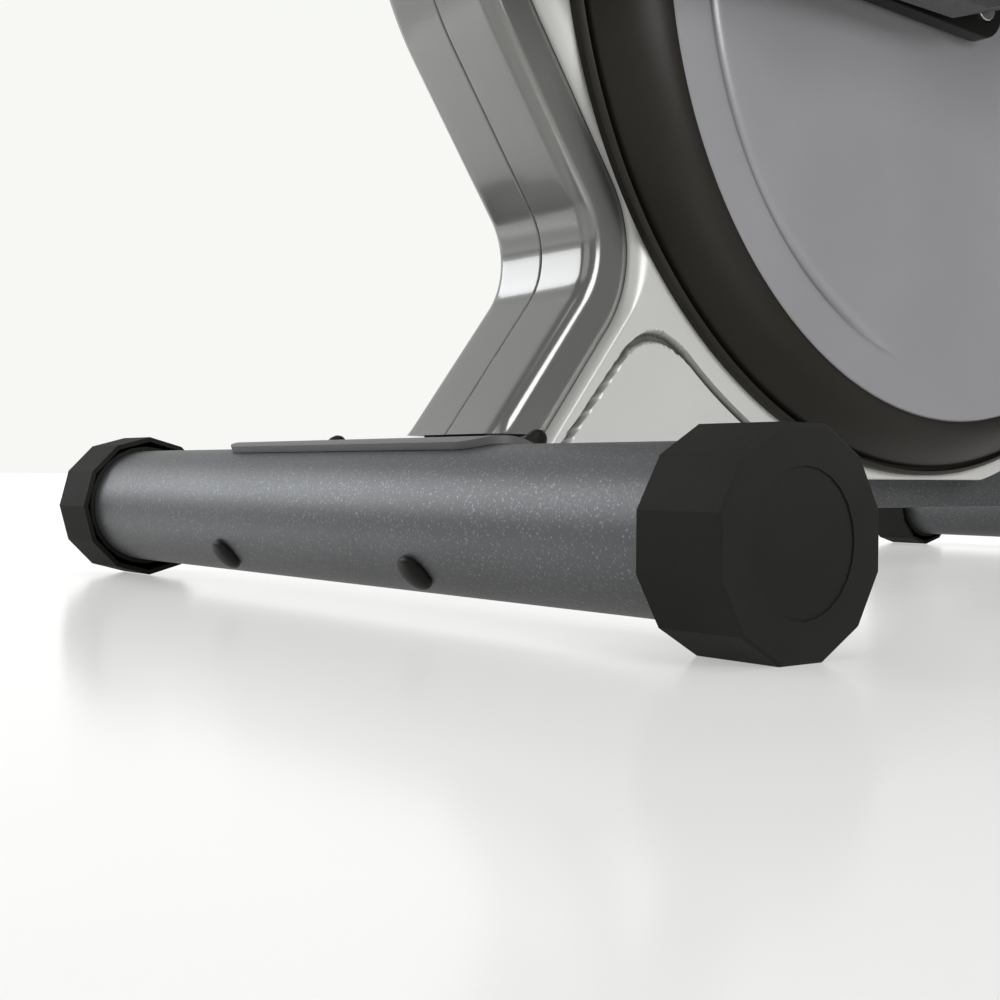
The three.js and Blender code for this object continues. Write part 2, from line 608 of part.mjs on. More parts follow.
function flywheel() {
  const bore = holeRadius(FLYWHEEL_AXLE_RADIUS, 32);
  const profile = [
    [bore, -FLYWHEEL_HALF - 6],
    [18, -FLYWHEEL_HALF - 6],
    [18, -6],
    [FLYWHEEL_RADIUS - 22, -6],
    [FLYWHEEL_RADIUS - 18, -FLYWHEEL_HALF],
    [FLYWHEEL_RADIUS, -FLYWHEEL_HALF],
    [FLYWHEEL_RADIUS, FLYWHEEL_HALF],
    [FLYWHEEL_RADIUS - 18, FLYWHEEL_HALF],
    [FLYWHEEL_RADIUS - 22, 6],
    [18, 6],
    [14, 16],
    [14, BELT_IN - 1],
    [DRIVEN_RADIUS, BELT_IN - 1],
    [DRIVEN_RADIUS, BELT_OUT + 1],
    [bore, BELT_OUT + 1],
    [bore, -FLYWHEEL_HALF - 6],
  ];
  return turned(profile, FLYWHEEL_X, FLYWHEEL_Z, 32);
}

// The idler rests against the belt's slack run, on the side away from the post.
function idlerPlace() {
  const [dx, dz] = [FLYWHEEL_X - RING_X, FLYWHEEL_Z - CRANK_Z];
  const reach = Math.hypot(dx, dz);
  const angle = Math.atan2(dz, dx) - Math.acos((PULLEY_RADIUS - DRIVEN_RADIUS) / reach);
  const normal = { x: Math.cos(angle), z: Math.sin(angle) };
  const along = reach * 0.42;
  const out = PULLEY_RADIUS + GAP * 2 + BELT_THICKNESS + IDLER_RADIUS;
  return { x: RING_X + normal.x * out - normal.z * along, z: CRANK_Z + normal.z * out + normal.x * along };
}

function idlerArm() {
  const { x, z } = idlerPlace();
  const heading = THREE.MathUtils.radToDeg(Math.atan2(z - IDLER_PIVOT.z, x - IDLER_PIVOT.x));
  const eye = arc(IDLER_PIVOT.x, IDLER_PIVOT.z, 12, heading + 90, heading + 270, 10);
  const tip = arc(x, z, 9, heading - 90, heading + 90, 10);
  const arm = join(slab([...eye, ...tip], 27, 31), rod(x, z, 5, 30, BELT_OUT + 3, 16));
  return cut(arm, hole(IDLER_PIVOT.x, IDLER_PIVOT.z, 5, 20, 40));
}

function idlerWheel() {
  const { x, z } = idlerPlace();
  return sleeve(x, z, holeRadius(5, 24), IDLER_RADIUS, BELT_IN, BELT_OUT, 24);
}

// A curved bracket that carries the brake magnets round the flywheel's rim.
function magnetBracket() {
  const rim = FLYWHEEL_RADIUS;
  const band = [
    ...arc(FLYWHEEL_X, FLYWHEEL_Z, rim + 14, 62, 144, 14),
    ...arc(FLYWHEEL_X, FLYWHEEL_Z, rim + 4, 144, 62, 14),
  ];
  const outer = slab(band, -15, 15);
  const eye = rod(BRAKE_PIVOT.x, BRAKE_PIVOT.z, 9, 6, 15, 20);
  const neck = slab([[-402, 256], [-392, 270], [-352, 292], [-362, 268], [-372, 254]], 6, 15);
  return cut(join(outer, neck, eye), hole(BRAKE_PIVOT.x, BRAKE_PIVOT.z, 4, 0, 20));
}

function tensionCable() {
  const inMast = PIVOT_X + 15;
  const corners = [
    [-232, 0, 314],
    [-190, 0, 352],
    [-84, 0, 392],
    [inMast, 0, 470],
    [inMast, 0, 900],
    [PIVOT_X, 0, KNOB_Z - 7],
  ];
  return tube(roundedPath(corners, 18), 2, 0, 40, 8);
}

function tensionKnob() {
  const face = MAST_RADIUS + 0.6;
  const profile = [
    [0, 14],
    [4, 14],
    [4, face],
    [23, face],
    [25, face + 4],
    [23, face + 16],
    [15, face + 18],
    [14, face + 30],
    [0, face + 31],
  ];
  return lengthwise(turned(profile, 0, 0, 24)).translate(PIVOT_X, 0, KNOB_Z);
}

// ---------------------------------------------------------------- pedals and swing arms
function pedalBar() {
  const [x, z] = [RING_X + CRANK_LENGTH, CRANK_Z];
  const nose = arc(x + BAR_REACH, z - BAR_DROP, 17, -90, 84, 14);
  const h = BAR_HALF_HEIGHT;
  const outline = [[x - 130, z - 2], [x - 70, z - h], [x + 40, z - h], ...nose, [x + 120, z + h], [x - 130, z + h]];
  const shelf = box(x - 60, x + 50, BAR_OUT - 1, 216, z + h - 6, z + h);
  const bores = [
    hole(x, z, CRANK_PIN_RADIUS, BAR_IN - 1, BAR_OUT + 1, 24),
    rod(x + BAR_REACH, z - BAR_DROP, 8, BAR_IN - 1, BAR_OUT + 1, 20),
  ];
  return cut(join(slab(outline, BAR_IN, BAR_OUT), shelf), ...bores);
}

function roundedTray(inset, z0, z1) {
  const radius = 26 - inset;
  const [x0, x1] = [PEDAL.back + inset, PEDAL.front - inset];
  const [y0, y1] = [PEDAL.inner + inset, PEDAL.outer - inset];
  const shape = new THREE.Shape();
  shape.absarc(x1 - radius, y1 - radius, radius, 0, Math.PI / 2);
  shape.absarc(x0 + radius, y1 - radius, radius, Math.PI / 2, Math.PI);
  shape.absarc(x0 + radius, y0 + radius, radius, Math.PI, Math.PI * 1.5);
  shape.absarc(x1 - radius, y0 + radius, radius, Math.PI * 1.5, Math.PI * 2);
  const options = { depth: z1 - z0, bevelEnabled: false, curveSegments: 6 };
  return new THREE.ExtrudeGeometry(shape, options).translate(RING_X + CRANK_LENGTH, 0, z0);
}

function footPedal() {
  const z = CRANK_Z + BAR_HALF_HEIGHT + GAP;
  return cut(roundedTray(0, z, z + PEDAL.height), roundedTray(PEDAL.wall, z + 7, z + PEDAL.height + 1));
}

// Swing-arm pieces are made upright, with the pivot at the origin; the group leans them.
function swingArm() {
  const y = (SWING_BOSS.in + SWING_BOSS.out) / 2;
  const footY = (SWING_FOOT.in + SWING_FOOT.out) / 2;
  const boss = rod(0, 0, 22, SWING_BOSS.in, SWING_BOSS.out, 28);
  const corners = [[0, y, -14], [0, y, -70], [0, footY, -215], [0, footY, 14 - SWING_LENGTH]];
  const leg = tube(roundedPath(corners, 34), ARM_RADIUS, 0, 16);
  const foot = rod(0, -SWING_LENGTH, 17, SWING_FOOT.in, SWING_FOOT.out, 24);
  const stub = rod(0, -SWING_LENGTH, 7, BAR_OUT + 2, SWING_FOOT.in + 1, 16);
  const socket = upright(rod(0, 0, 19, 14, 74, 20)).translate(0, y, 0);
  const mouth = upright(hole(0, 0, ARM_RADIUS, 26, 80, 20)).translate(0, y, 0);
  const bore = hole(0, 0, SWING_AXLE_RADIUS, SWING_BOSS.in - 1, SWING_BOSS.out + 1, 20);
  return cut(join(boss, leg, foot, stub, socket), mouth, bore);
}

const GRIP_FOOT = [-50, 250, 425];
const GRIP_TOP = [-38, 250, 612];
function handleTube() {
  const y = (SWING_BOSS.in + SWING_BOSS.out) / 2;
  const corners = [[0, y, 28], [0, y, 130], [-24, 215, 290], GRIP_FOOT, GRIP_TOP];
  return tube(roundedPath(corners, 40), ARM_RADIUS - 0.2, ARM_WALL, 18);
}

function handleGrip() {
  const [foot, top] = [new THREE.Vector3(...GRIP_FOOT), new THREE.Vector3(...GRIP_TOP)];
  const at = (t) => foot.clone().lerp(top, t);
  const run = new THREE.LineCurve3(at(0.3), at(0.94));
  const section = new THREE.Shape().absarc(0, 0, ARM_RADIUS + 3.5, 0, Math.PI * 2);
  section.holes.push(new THREE.Path().absarc(0, 0, holeRadius(ARM_RADIUS, 12), 0, Math.PI * 2, true));
  return new THREE.ExtrudeGeometry(section, { extrudePath: run, steps: 3, bevelEnabled: false, curveSegments: 6 });
}

function fixedHandlebar() {
  const x = PIVOT_X - MAST_RADIUS - 13;
  const half = [[x, 0, 1085], [x, 62, 1085], [x - 34, 112, 1108], [x - 120, 112, 1150]];
  const left = half.slice(1).reverse();
  const right = half.slice(1).map(([px, py, pz]) => [px, -py, pz]);
  const bar = tube(roundedPath([...left, ...right], 20), 12, 0, 26);
  const clamp = box(x, PIVOT_X - MAST_RADIUS - GAP, -18, 18, 1067, 1103);
  return join(bar, clamp);
}

// ---------------------------------------------------------------- console
function consoleBracket() {
  const profile = [[-96, 1150], [-34, 1150], [-36, 1178], [-59.1, 1211.3], [-99.1, 1160]];
  const cap = slab(profile, -30, 30);
  const plug = upright(rod(0, 0, MAST_RADIUS - MAST_WALL - GAP, MAST_TOP - 30, MAST_TOP + 6, 24));
  const seat = box(-200, 100, -80, 80, MAST_TOP - 5, MAST_TOP + GAP);
  return join(cut(cap, seat), plug.translate(PIVOT_X, 0, 0));
}

// Console pieces are made flat, screen up, with the housing's bottom centre at the origin.
function consoleHousing() {
  const { half, length, depth } = CONSOLE;
  const shape = new THREE.Shape();
  const [a, b, r] = [length / 2, half, 20];
  shape.absarc(a - r, b - r, r, 0, Math.PI / 2);
  shape.absarc(-a + r, b - r, r, Math.PI / 2, Math.PI);
  shape.absarc(-a + r, -b + r, r, Math.PI, Math.PI * 1.5);
  shape.absarc(a - r, -b + r, r, Math.PI * 1.5, Math.PI * 2);
  const block = new THREE.ExtrudeGeometry(shape, { depth, bevelEnabled: false, curveSegments: 6 });
  const window = box(-18, 46, -56, 56, depth - 4, depth + 1);
  const wells = [-1, 1].map((side) => box(-46, -30, side * 26 - 15, side * 26 + 15, depth - 8, depth + 1));
  return cut(block, window, ...wells);
}

const consoleScreen = () =>
  box(-18 + GAP, 46 - GAP, GAP - 56, 56 - GAP, CONSOLE.depth - 4 + GAP, CONSOLE.depth - 1);

const consoleButton = (side) =>
  box(-46 + GAP, -30 - GAP, side * 26 - 15 + GAP, side * 26 + 15 - GAP, CONSOLE.depth - 4, CONSOLE.depth + 2);

// ---------------------------------------------------------------- assembly
const trainer = new THREE.Group();

function add(parent, name, geometry, material) {
  const mesh = new THREE.Mesh(geometry, FINISH[material]());
  mesh.name = name;
  parent.add(mesh);
  return mesh;
}

// A left piece and its mirror image on the right.
function addPair(parent, name, geometry, material) {
  add(parent, name + "_left", geometry, material);
  add(parent, name + "_right", mirrored(geometry), material);
}

for (const [end, x, boltSide] of [["front", 0, 1], ["rear", -WHEELBASE, -1]]) {
  add(trainer, end + "_stabiliser", stabiliserTube(x, boltSide), "powder");
  add(trainer, end + "_saddle_plate", saddlePlate(x, boltSide), "blackSteel");
  add(trainer, end + "_cap_left", endCap(x, 1, 0), "blackPlastic");
  add(trainer, end + "_cap_right", endCap(x, -1, boltSide * RIGHT_CAP_TURN), "blackPlastic");
  addPair(trainer, end + "_bolt", carriageBolt(x, BOLT_SPREAD, boltSide), "blackSteel");
  addPair(trainer, end + "_nut", domeNut(x, BOLT_SPREAD, boltSide), "blackSteel");
}

add(trainer, "main_beam", mainBeam(), "powder");
add(trainer, "post_tube", postTube(), "powder");
add(trainer, "crank_frame", crankFrame(), "powder");
add(trainer, "mast", mast(), "powder");
addPair(trainer, "post_cover", postCover(), "postPlastic");
add(trainer, "mast_collar", mastCollar(), "blackPlastic");
addPair(trainer, "casing", casing(), "silverPlastic");
addPair(trainer, "casing_ring", ringCover(), "ringPlastic");
addPair(trainer, "side_panel", sidePanel(), "panelPlastic");

addPair(
  trainer,
  "crank_bearing",
  sleeve(RING_X, CRANK_Z, holeRadius(CRANK_AXLE_RADIUS, 20), BEARING_RADIUS, SHELL_HALF - BEARING_WIDTH, SHELL_HALF),
  "steel",
);
add(trainer, "crank_axle", rod(RING_X, CRANK_Z, CRANK_AXLE_RADIUS, -CRANK_AXLE_HALF, CRANK_AXLE_HALF), "steel");
add(trainer, "crank_pulley", crankPulley(), "blackPlastic");
add(trainer, "drive_belt", driveBelt(), "rubber");
add(trainer, "flywheel", flywheel(), "castIron");
add(trainer, "flywheel_axle", rod(FLYWHEEL_X, FLYWHEEL_Z, FLYWHEEL_AXLE_RADIUS, -32, 58, 16), "steel");
add(trainer, "idler_arm", idlerArm(), "blackSteel");
add(trainer, "idler_wheel", idlerWheel(), "blackPlastic");
add(trainer, "magnet_bracket", magnetBracket(), "steel");
add(trainer, "tension_cable", tensionCable(), "rubber");
add(trainer, "tension_knob", tensionKnob(), "blackPlastic");

// The right crank points opposite to the left one, so the right-hand parts are the left ones turned half a turn
// about the upright through the crank axis, or mirrored and moved back by two crank lengths.
const rightCrank = crankArm().translate(-RING_X, 0, 0).rotateZ(Math.PI).translate(RING_X, 0, 0);
add(trainer, "crank_arm_left", crankArm(), "blackSteel");
add(trainer, "crank_arm_right", rightCrank, "blackSteel");
const step = -2 * CRANK_LENGTH;
add(trainer, "pedal_bar_left", pedalBar(), "powder");
add(trainer, "pedal_bar_right", moved(mirrored(pedalBar()), step, 0, 0), "powder");
add(trainer, "foot_pedal_left", footPedal(), "blackPlastic");
add(trainer, "foot_pedal_right", moved(mirrored(footPedal()), step, 0, 0), "blackPlastic");

const swingAxle = join(
  rod(PIVOT_X, PIVOT_Z, SWING_AXLE_RADIUS, -SWING_AXLE_HALF, SWING_AXLE_HALF),
  rod(PIVOT_X, PIVOT_Z, 17, SWING_BOSS.out + 1, SWING_AXLE_HALF),
  rod(PIVOT_X, PIVOT_Z, 17, -SWING_AXLE_HALF, -SWING_BOSS.out - 1),
);
add(trainer, "swing_axle", swingAxle, "steel");
for (const [side, name] of [[1, "left"], [-1, "right"]]) {
  const arm = new THREE.Group();
  arm.position.set(PIVOT_X, 0, PIVOT_Z);
  arm.rotation.y = -side * SWING_ANGLE;
  trainer.add(arm);
  const sided = (geometry) => (side > 0 ? geometry : mirrored(geometry));
  add(arm, "swing_arm_" + name, sided(swingArm()), "powder");
  add(arm, "handle_" + name, sided(handleTube()), "powder");
  add(arm, "handle_grip_" + name, sided(handleGrip()), "foam");
}
add(trainer, "fixed_handlebar", fixedHandlebar(), "powder");

add(trainer, "console_bracket", consoleBracket(), "blackPlastic");
const consoleGroup = new THREE.Group();
consoleGroup.position.set(CONSOLE.x, 0, CONSOLE.z);
consoleGroup.rotation.y = -rad(CONSOLE_TILT);
trainer.add(consoleGroup);
add(consoleGroup, "console_housing", consoleHousing(), "blackPlastic");
add(consoleGroup, "console_screen", consoleScreen(), "screen");
add(consoleGroup, "console_button_left", consoleButton(1), "rubber");
add(consoleGroup, "console_button_right", consoleButton(-1), "rubber");

const EXACT = true; // measure vertices, because the leaning arms' own boxes are loose
trainer.updateMatrixWorld(true);
const bounds = new THREE.Box3().setFromObject(trainer, EXACT);
trainer.position.x = -(bounds.min.x + bounds.max.x) / 2;
trainer.updateMatrixWorld(true);

export default trainer;
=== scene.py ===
import json
import logging
import math
from dataclasses import dataclass, field
from enum import Enum
from typing import Sequence

import bmesh
import bpy
import numpy as np
from mathutils import Matrix, Vector

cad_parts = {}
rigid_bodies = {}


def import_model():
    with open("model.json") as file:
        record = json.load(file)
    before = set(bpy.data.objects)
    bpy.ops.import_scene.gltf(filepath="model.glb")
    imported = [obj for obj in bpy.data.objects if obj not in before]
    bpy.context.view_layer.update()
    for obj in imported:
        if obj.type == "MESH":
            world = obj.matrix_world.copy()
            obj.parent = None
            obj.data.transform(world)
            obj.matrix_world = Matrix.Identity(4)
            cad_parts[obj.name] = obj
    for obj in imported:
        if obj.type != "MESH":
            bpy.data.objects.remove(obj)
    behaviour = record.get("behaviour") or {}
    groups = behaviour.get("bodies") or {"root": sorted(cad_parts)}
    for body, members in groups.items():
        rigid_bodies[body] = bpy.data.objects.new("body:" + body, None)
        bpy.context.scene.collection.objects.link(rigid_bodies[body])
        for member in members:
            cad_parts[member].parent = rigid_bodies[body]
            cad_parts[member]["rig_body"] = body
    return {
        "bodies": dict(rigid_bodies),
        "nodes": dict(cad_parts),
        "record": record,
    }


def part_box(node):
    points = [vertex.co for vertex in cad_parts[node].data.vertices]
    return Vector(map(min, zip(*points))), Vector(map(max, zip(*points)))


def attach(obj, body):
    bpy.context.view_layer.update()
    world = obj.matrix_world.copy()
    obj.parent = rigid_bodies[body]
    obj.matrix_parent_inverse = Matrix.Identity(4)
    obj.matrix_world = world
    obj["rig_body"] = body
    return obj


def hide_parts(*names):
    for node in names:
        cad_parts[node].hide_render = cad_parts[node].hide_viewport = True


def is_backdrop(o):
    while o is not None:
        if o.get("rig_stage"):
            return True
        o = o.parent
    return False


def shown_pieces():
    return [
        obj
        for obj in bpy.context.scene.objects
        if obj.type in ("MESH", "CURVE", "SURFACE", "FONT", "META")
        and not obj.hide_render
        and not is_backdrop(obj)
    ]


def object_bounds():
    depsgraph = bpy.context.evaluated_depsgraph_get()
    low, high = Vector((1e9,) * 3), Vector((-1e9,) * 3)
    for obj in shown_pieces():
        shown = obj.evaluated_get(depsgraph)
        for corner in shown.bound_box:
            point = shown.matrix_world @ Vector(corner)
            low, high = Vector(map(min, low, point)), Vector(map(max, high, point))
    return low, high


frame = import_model()
log = logging.getLogger("elliptical_trainer")
Array = np.ndarray
Tree = bpy.types.NodeTree
Socket = bpy.types.NodeSocket
Numbers = Sequence[float]
Profile = tuple[tuple[float, float], ...]
WELD = 1e-6  # vertices closer than this, in metres, become one
GROOVE_SHADE_MASK = "crease"  # the mesh attribute that says how deep in a groove a vertex is, and so how much painted shade the finish puts there
MIX_SHARE, MIX_FIRST, MIX_SECOND, MIX_RESULT = 0, 6, 7, 2  # sockets of a mix node that mixes colours
NOISE_MIDDLE = (0.3, 0.7)  # the part of a noise's range that most of its values fall in
PATCH_EDGES = (0.35, 0.65)  # where the soft edge between two colours starts and ends
PAINTED_SHADE = (0.02, 0.02, 0.018, 1)  # painted shade: the colour put in the bottom of a groove
FLAKE = (0.75, 0.77, 0.8, 1)  # colour of a metal flake
FLAKES_PER_METRE = 1300.0
FLAKE_SHARE = 0.75  # flakes are the cells whose random value is above this
FINISH_NODES = 6  # a worked finish has at least as many shader nodes


class Side(Enum):
    """Which side of the machine a piece is on."""

    LEFT = 1
    RIGHT = -1

    @property
    def word(self) -> str:
        """The side as the nodes name it."""
        return self.name.lower()


# ------------------------------------------------------------------ finishes
@dataclass(frozen=True)
class Finish:
    """A procedural surface finish.

    Colour drifts between colour and tone in soft patches, roughness follows a fine grain, and the same
    grain lifts the surface. Sparkle adds the bright flakes of a metallic powder coat, and crease paints
    shade into the grooves that the mesh marks.
    """

    slot: str
    colour: tuple[float, float, float]
    tone: tuple[float, float, float]
    roughness: tuple[float, float]
    metallic: float = 0.0
    patch_scale: float = 9.0
    grain_scale: float = 900.0
    grain_height: float = 0.00003
    bump: float = 0.25
    coat: float = 0.0
    coat_roughness: float = 0.1
    sparkle: float = 0.0
    specular: float = 0.5
    # how far the grooves that the mesh marks are darkened towards the painted shade colour
    crease: float = 0.0

    def material(self) -> bpy.types.Material:
        """Makes the finish's material the first time, and finds it again after that.

        Returns:
            The material.
        """
        name = self.slot + "_finish"  # the frame's own plain materials already have the slots' names
        found = bpy.data.materials.get(name)
        if found:
            return found
        made = bpy.data.materials.new(name)
        made.use_nodes = True
        tree = made.node_tree
        shader = tree.nodes["Principled BSDF"]
        shader.inputs["Metallic"].default_value = self.metallic
        shader.inputs["Specular IOR Level"].default_value = self.specular
        shader.inputs["Coat Weight"].default_value = self.coat
        shader.inputs["Coat Roughness"].default_value = self.coat_roughness
        place = tree.nodes.new("ShaderNodeTexCoord").outputs["Object"]
        patch = self._noise(tree, place, self.patch_scale, 4.0)
        grain = self._noise(tree, place, self.grain_scale, 3.0)
        colour = self._blend(tree, patch, self.colour, self.tone)
        if self.sparkle:
            colour = self._flakes(tree, place, colour)
        # painted shade in the grooves that the mesh marks
        if self.crease:
            colour = self._creased(tree, colour)
        tree.links.new(colour, shader.inputs["Base Color"])
        rough = tree.nodes.new("ShaderNodeMapRange")
        rough.inputs["From Min"].default_value = NOISE_MIDDLE[0]
        rough.inputs["From Max"].default_value = NOISE_MIDDLE[1]
        rough.inputs["To Min"].default_value = self.roughness[0]
        rough.inputs["To Max"].default_value = self.roughness[1]
        tree.links.new(grain, rough.inputs["Value"])
        tree.links.new(rough.outputs["Result"], shader.inputs["Roughness"])
        lift = tree.nodes.new("ShaderNodeBump")
        lift.inputs["Strength"].default_value = self.bump
        lift.inputs["Distance"].default_value = self.grain_height
        tree.links.new(grain, lift.inputs["Height"])
        tree.links.new(lift.outputs["Normal"], shader.inputs["Normal"])
        return made

    @staticmethod
    def _noise(tree: Tree, place: Socket, scale: float, detail: float) -> Socket:
        """Makes a noise value.

        Args:
            tree: the material's nodes.
            place: where on the piece the value is wanted.
            scale: bumps per metre.
            detail: octaves of finer noise on top.

        Returns:
            The value, from 0 to 1.
        """
        node = tree.nodes.new("ShaderNodeTexNoise")
        node.inputs["Scale"].default_value = scale
        node.inputs["Detail"].default_value = detail
        tree.links.new(place, node.inputs["Vector"])
        return node.outputs["Fac"]

    @staticmethod
    def _blend(tree: Tree, value: Socket, low: Numbers, high: Numbers) -> Socket:
        """Makes a colour that goes from low to high as the value rises through its middle.

        Args:
            tree: the material's nodes.
            value: what the colour follows.
            low: colour below the middle.
            high: colour above it.

        Returns:
            The colour.
        """
        ramp = tree.nodes.new("ShaderNodeValToRGB")
        ramp.color_ramp.elements[0].position = PATCH_EDGES[0]
        ramp.color_ramp.elements[1].position = PATCH_EDGES[1]
        ramp.color_ramp.elements[0].color = (*low, 1)
        ramp.color_ramp.elements[1].color = (*high, 1)
        tree.links.new(value, ramp.inputs["Fac"])
        return ramp.outputs["Color"]

    def _creased(self, tree: Tree, colour: Socket) -> Socket:
        """Paints shade into the colour where the mesh's crease attribute says that a vertex lies in a groove.

        Args:
            tree: the material's nodes.
            colour: the colour on open surface.

        Returns:
            The colour with painted shade in its grooves.
        """
        depth = tree.nodes.new("ShaderNodeAttribute")
        depth.attribute_name = GROOVE_SHADE_MASK
        share = tree.nodes.new("ShaderNodeMath")
        share.operation = "MULTIPLY"
        share.inputs[1].default_value = self.crease
        tree.links.new(depth.outputs["Fac"], share.inputs[0])
        # mixes towards the painted shade colour by the groove's depth
        mix = tree.nodes.new("ShaderNodeMix")
        mix.data_type = "RGBA"
        mix.inputs[MIX_SECOND].default_value = PAINTED_SHADE
        tree.links.new(share.outputs["Value"], mix.inputs[MIX_SHARE])
        tree.links.new(colour, mix.inputs[MIX_FIRST])
        return mix.outputs[MIX_RESULT]

    def _flakes(self, tree: Tree, place: Socket, colour: Socket) -> Socket:
        """Brightens one cell in several, as metal flakes are.

        Args:
            tree: the material's nodes.
            place: where on the piece the colour is wanted.
            colour: the colour between the flakes.

        Returns:
            The colour with flakes.
        """
        cells = tree.nodes.new("ShaderNodeTexVoronoi")
        cells.inputs["Scale"].default_value = FLAKES_PER_METRE
        tree.links.new(place, cells.inputs["Vector"])
        pick = tree.nodes.new("ShaderNodeMapRange")
        pick.inputs["From Min"].default_value = FLAKE_SHARE
        pick.inputs["From Max"].default_value = 1.0
        pick.inputs["To Max"].default_value = self.sparkle
        tree.links.new(cells.outputs["Color"], pick.inputs["Value"])
        mix = tree.nodes.new("ShaderNodeMix")
        mix.data_type = "RGBA"
        mix.inputs[MIX_SECOND].default_value = FLAKE
        tree.links.new(pick.outputs["Result"], mix.inputs[MIX_SHARE])
        tree.links.new(colour, mix.inputs[MIX_FIRST])
        return mix.outputs[MIX_RESULT]


FINISHES: dict[str, Finish] = {
    f.slot: f
    for f in (
        Finish(
            "powder_coat",
            colour=(0.085, 0.087, 0.09),
            tone=(0.1, 0.102, 0.106),
            roughness=(0.4, 0.52),
            metallic=0.6,
            bump=0.3,
            sparkle=0.2,
            specular=0.45,
        ),
        Finish(
            "black_plastic",
            colour=(0.015, 0.015, 0.0135),
            tone=(0.02, 0.02, 0.018),
            roughness=(0.58, 0.7),
            bump=0.4,
            specular=0.06,
        ),
        Finish(
            "black_steel",
            colour=(0.006, 0.006, 0.0055),
            tone=(0.009, 0.009, 0.0082),
            roughness=(0.34, 0.48),
            specular=0.12,
        ),
        Finish(
            "saddle_steel",
            colour=(0.1, 0.101, 0.099),
            tone=(0.115, 0.116, 0.113),
            roughness=(0.4, 0.5),
            metallic=0.3,
            bump=0.3,
            specular=0.4,
        ),
        Finish(
            "post_plastic",
            colour=(0.165, 0.165, 0.158),
            tone=(0.18, 0.18, 0.172),
            roughness=(0.17, 0.23),
            metallic=0.4,
            coat=0.65,
            coat_roughness=0.07,
            bump=0.03,
        ),
        Finish(
            "silver_plastic",
            colour=(0.53, 0.53, 0.51),
            tone=(0.555, 0.555, 0.534),
            roughness=(0.34, 0.44),
            metallic=0.15,
            coat=0.2,
            bump=0.12,
            # painted shade in the recess groove
            crease=0.85,
        ),
        Finish(
            "ring_plastic",
            colour=(0.013, 0.0108, 0.0082),
            tone=(0.017, 0.0145, 0.0112),
            roughness=(0.34, 0.44),
            specular=0.18,
            bump=0.2,
        ),
        Finish(
            "panel_plastic",
            colour=(0.29, 0.29, 0.302),
            tone=(0.31, 0.31, 0.324),
            roughness=(0.3, 0.4),
            metallic=0.25,
            coat=0.2,
            bump=0.12,
            # painted shade along the accent crease
            crease=0.7,
        ),
        Finish(
            "bare_steel",
            colour=(0.42, 0.42, 0.44),
            tone=(0.5, 0.5, 0.52),
            roughness=(0.24, 0.4),
            metallic=1.0,
            bump=0.1,
        ),
        Finish(
            "cast_iron",
            colour=(0.13, 0.13, 0.14),
            tone=(0.19, 0.19, 0.2),
            roughness=(0.4, 0.6),
            metallic=0.9,
            bump=0.5,
        ),
        Finish(
            "rubber",
            colour=(0.014, 0.014, 0.014),
            tone=(0.02, 0.02, 0.02),
            roughness=(0.65, 0.85),
            bump=0.3,
        ),
        Finish(
            "foam",
            colour=(0.013, 0.013, 0.014),
            tone=(0.02, 0.02, 0.021),
            roughness=(0.8, 0.95),
            grain_height=0.0003,
            bump=0.8,
        ),
        Finish(
            "screen",
            colour=(0.018, 0.022, 0.024),
            tone=(0.022, 0.027, 0.03),
            roughness=(0.06, 0.12),
            coat=0.5,
            bump=0.02,
        ),
    )
}
SLOT_OF: dict[str, str] = {s["node"]: s["material_slot"] for s in frame["record"]["subparts"]}


# ------------------------------------------------------------------ meshes
def grid_faces(rows: int, cols: int, wrap_rows: bool, wrap_cols: bool, start: int = 0) -> Array:
    """Quads that join each grid point to the next along both ways, and round again where it wraps.

    Args:
        rows: points down the grid.
        cols: points across it.
        wrap_rows: whether the last row joins the first.
        wrap_cols: whether the last column joins the first.
        start: number of the grid's first point.

    Returns:
        The quads, m by 4.
    """
    r = np.arange(rows if wrap_rows else rows - 1)[:, None]
    c = np.arange(cols if wrap_cols else cols - 1)[None, :]
    r2, c2 = (r + 1) % rows, (c + 1) % cols
    corners = [r * cols + c, r2 * cols + c, r2 * cols + c2, r * cols + c2]
    return start + np.stack(np.broadcast_arrays(*corners), -1).reshape(-1, 4)


def mesh_object(name: str, points: Array, faces: Array) -> bpy.types.Object:
    """Makes a closed mesh whose doubles are merged and whose faces point outwards.

    Args:
        name: the piece's name.
        points: vertex places, n by 3.
        faces: quads, m by 4.

    Returns:
        The new object at the origin.
    """
    mesh = bpy.data.meshes.new(name)
    mesh.from_pydata(points.reshape(-1, 3).tolist(), [], faces.tolist())
    work = bmesh.new()
    work.from_mesh(mesh)
    bmesh.ops.remove_doubles(work, verts=work.verts, dist=WELD)
    bmesh.ops.recalc_face_normals(work, faces=work.faces)
    work.to_mesh(mesh)
    work.free()
    obj = bpy.data.objects.new(name, mesh)
    bpy.context.scene.collection.objects.link(obj)
    return obj


def closed_grid(name: str, points: Array) -> bpy.types.Object:
    """A surface that closes on itself both ways, such as a ring or a body of revolution.

    Args:
        name: the piece's name.
        points: rows by cols by 3.

    Returns:
        The new object.
    """
    rows, cols = points.shape[:2]
    return mesh_object(name, points, grid_faces(rows, cols, True, True))


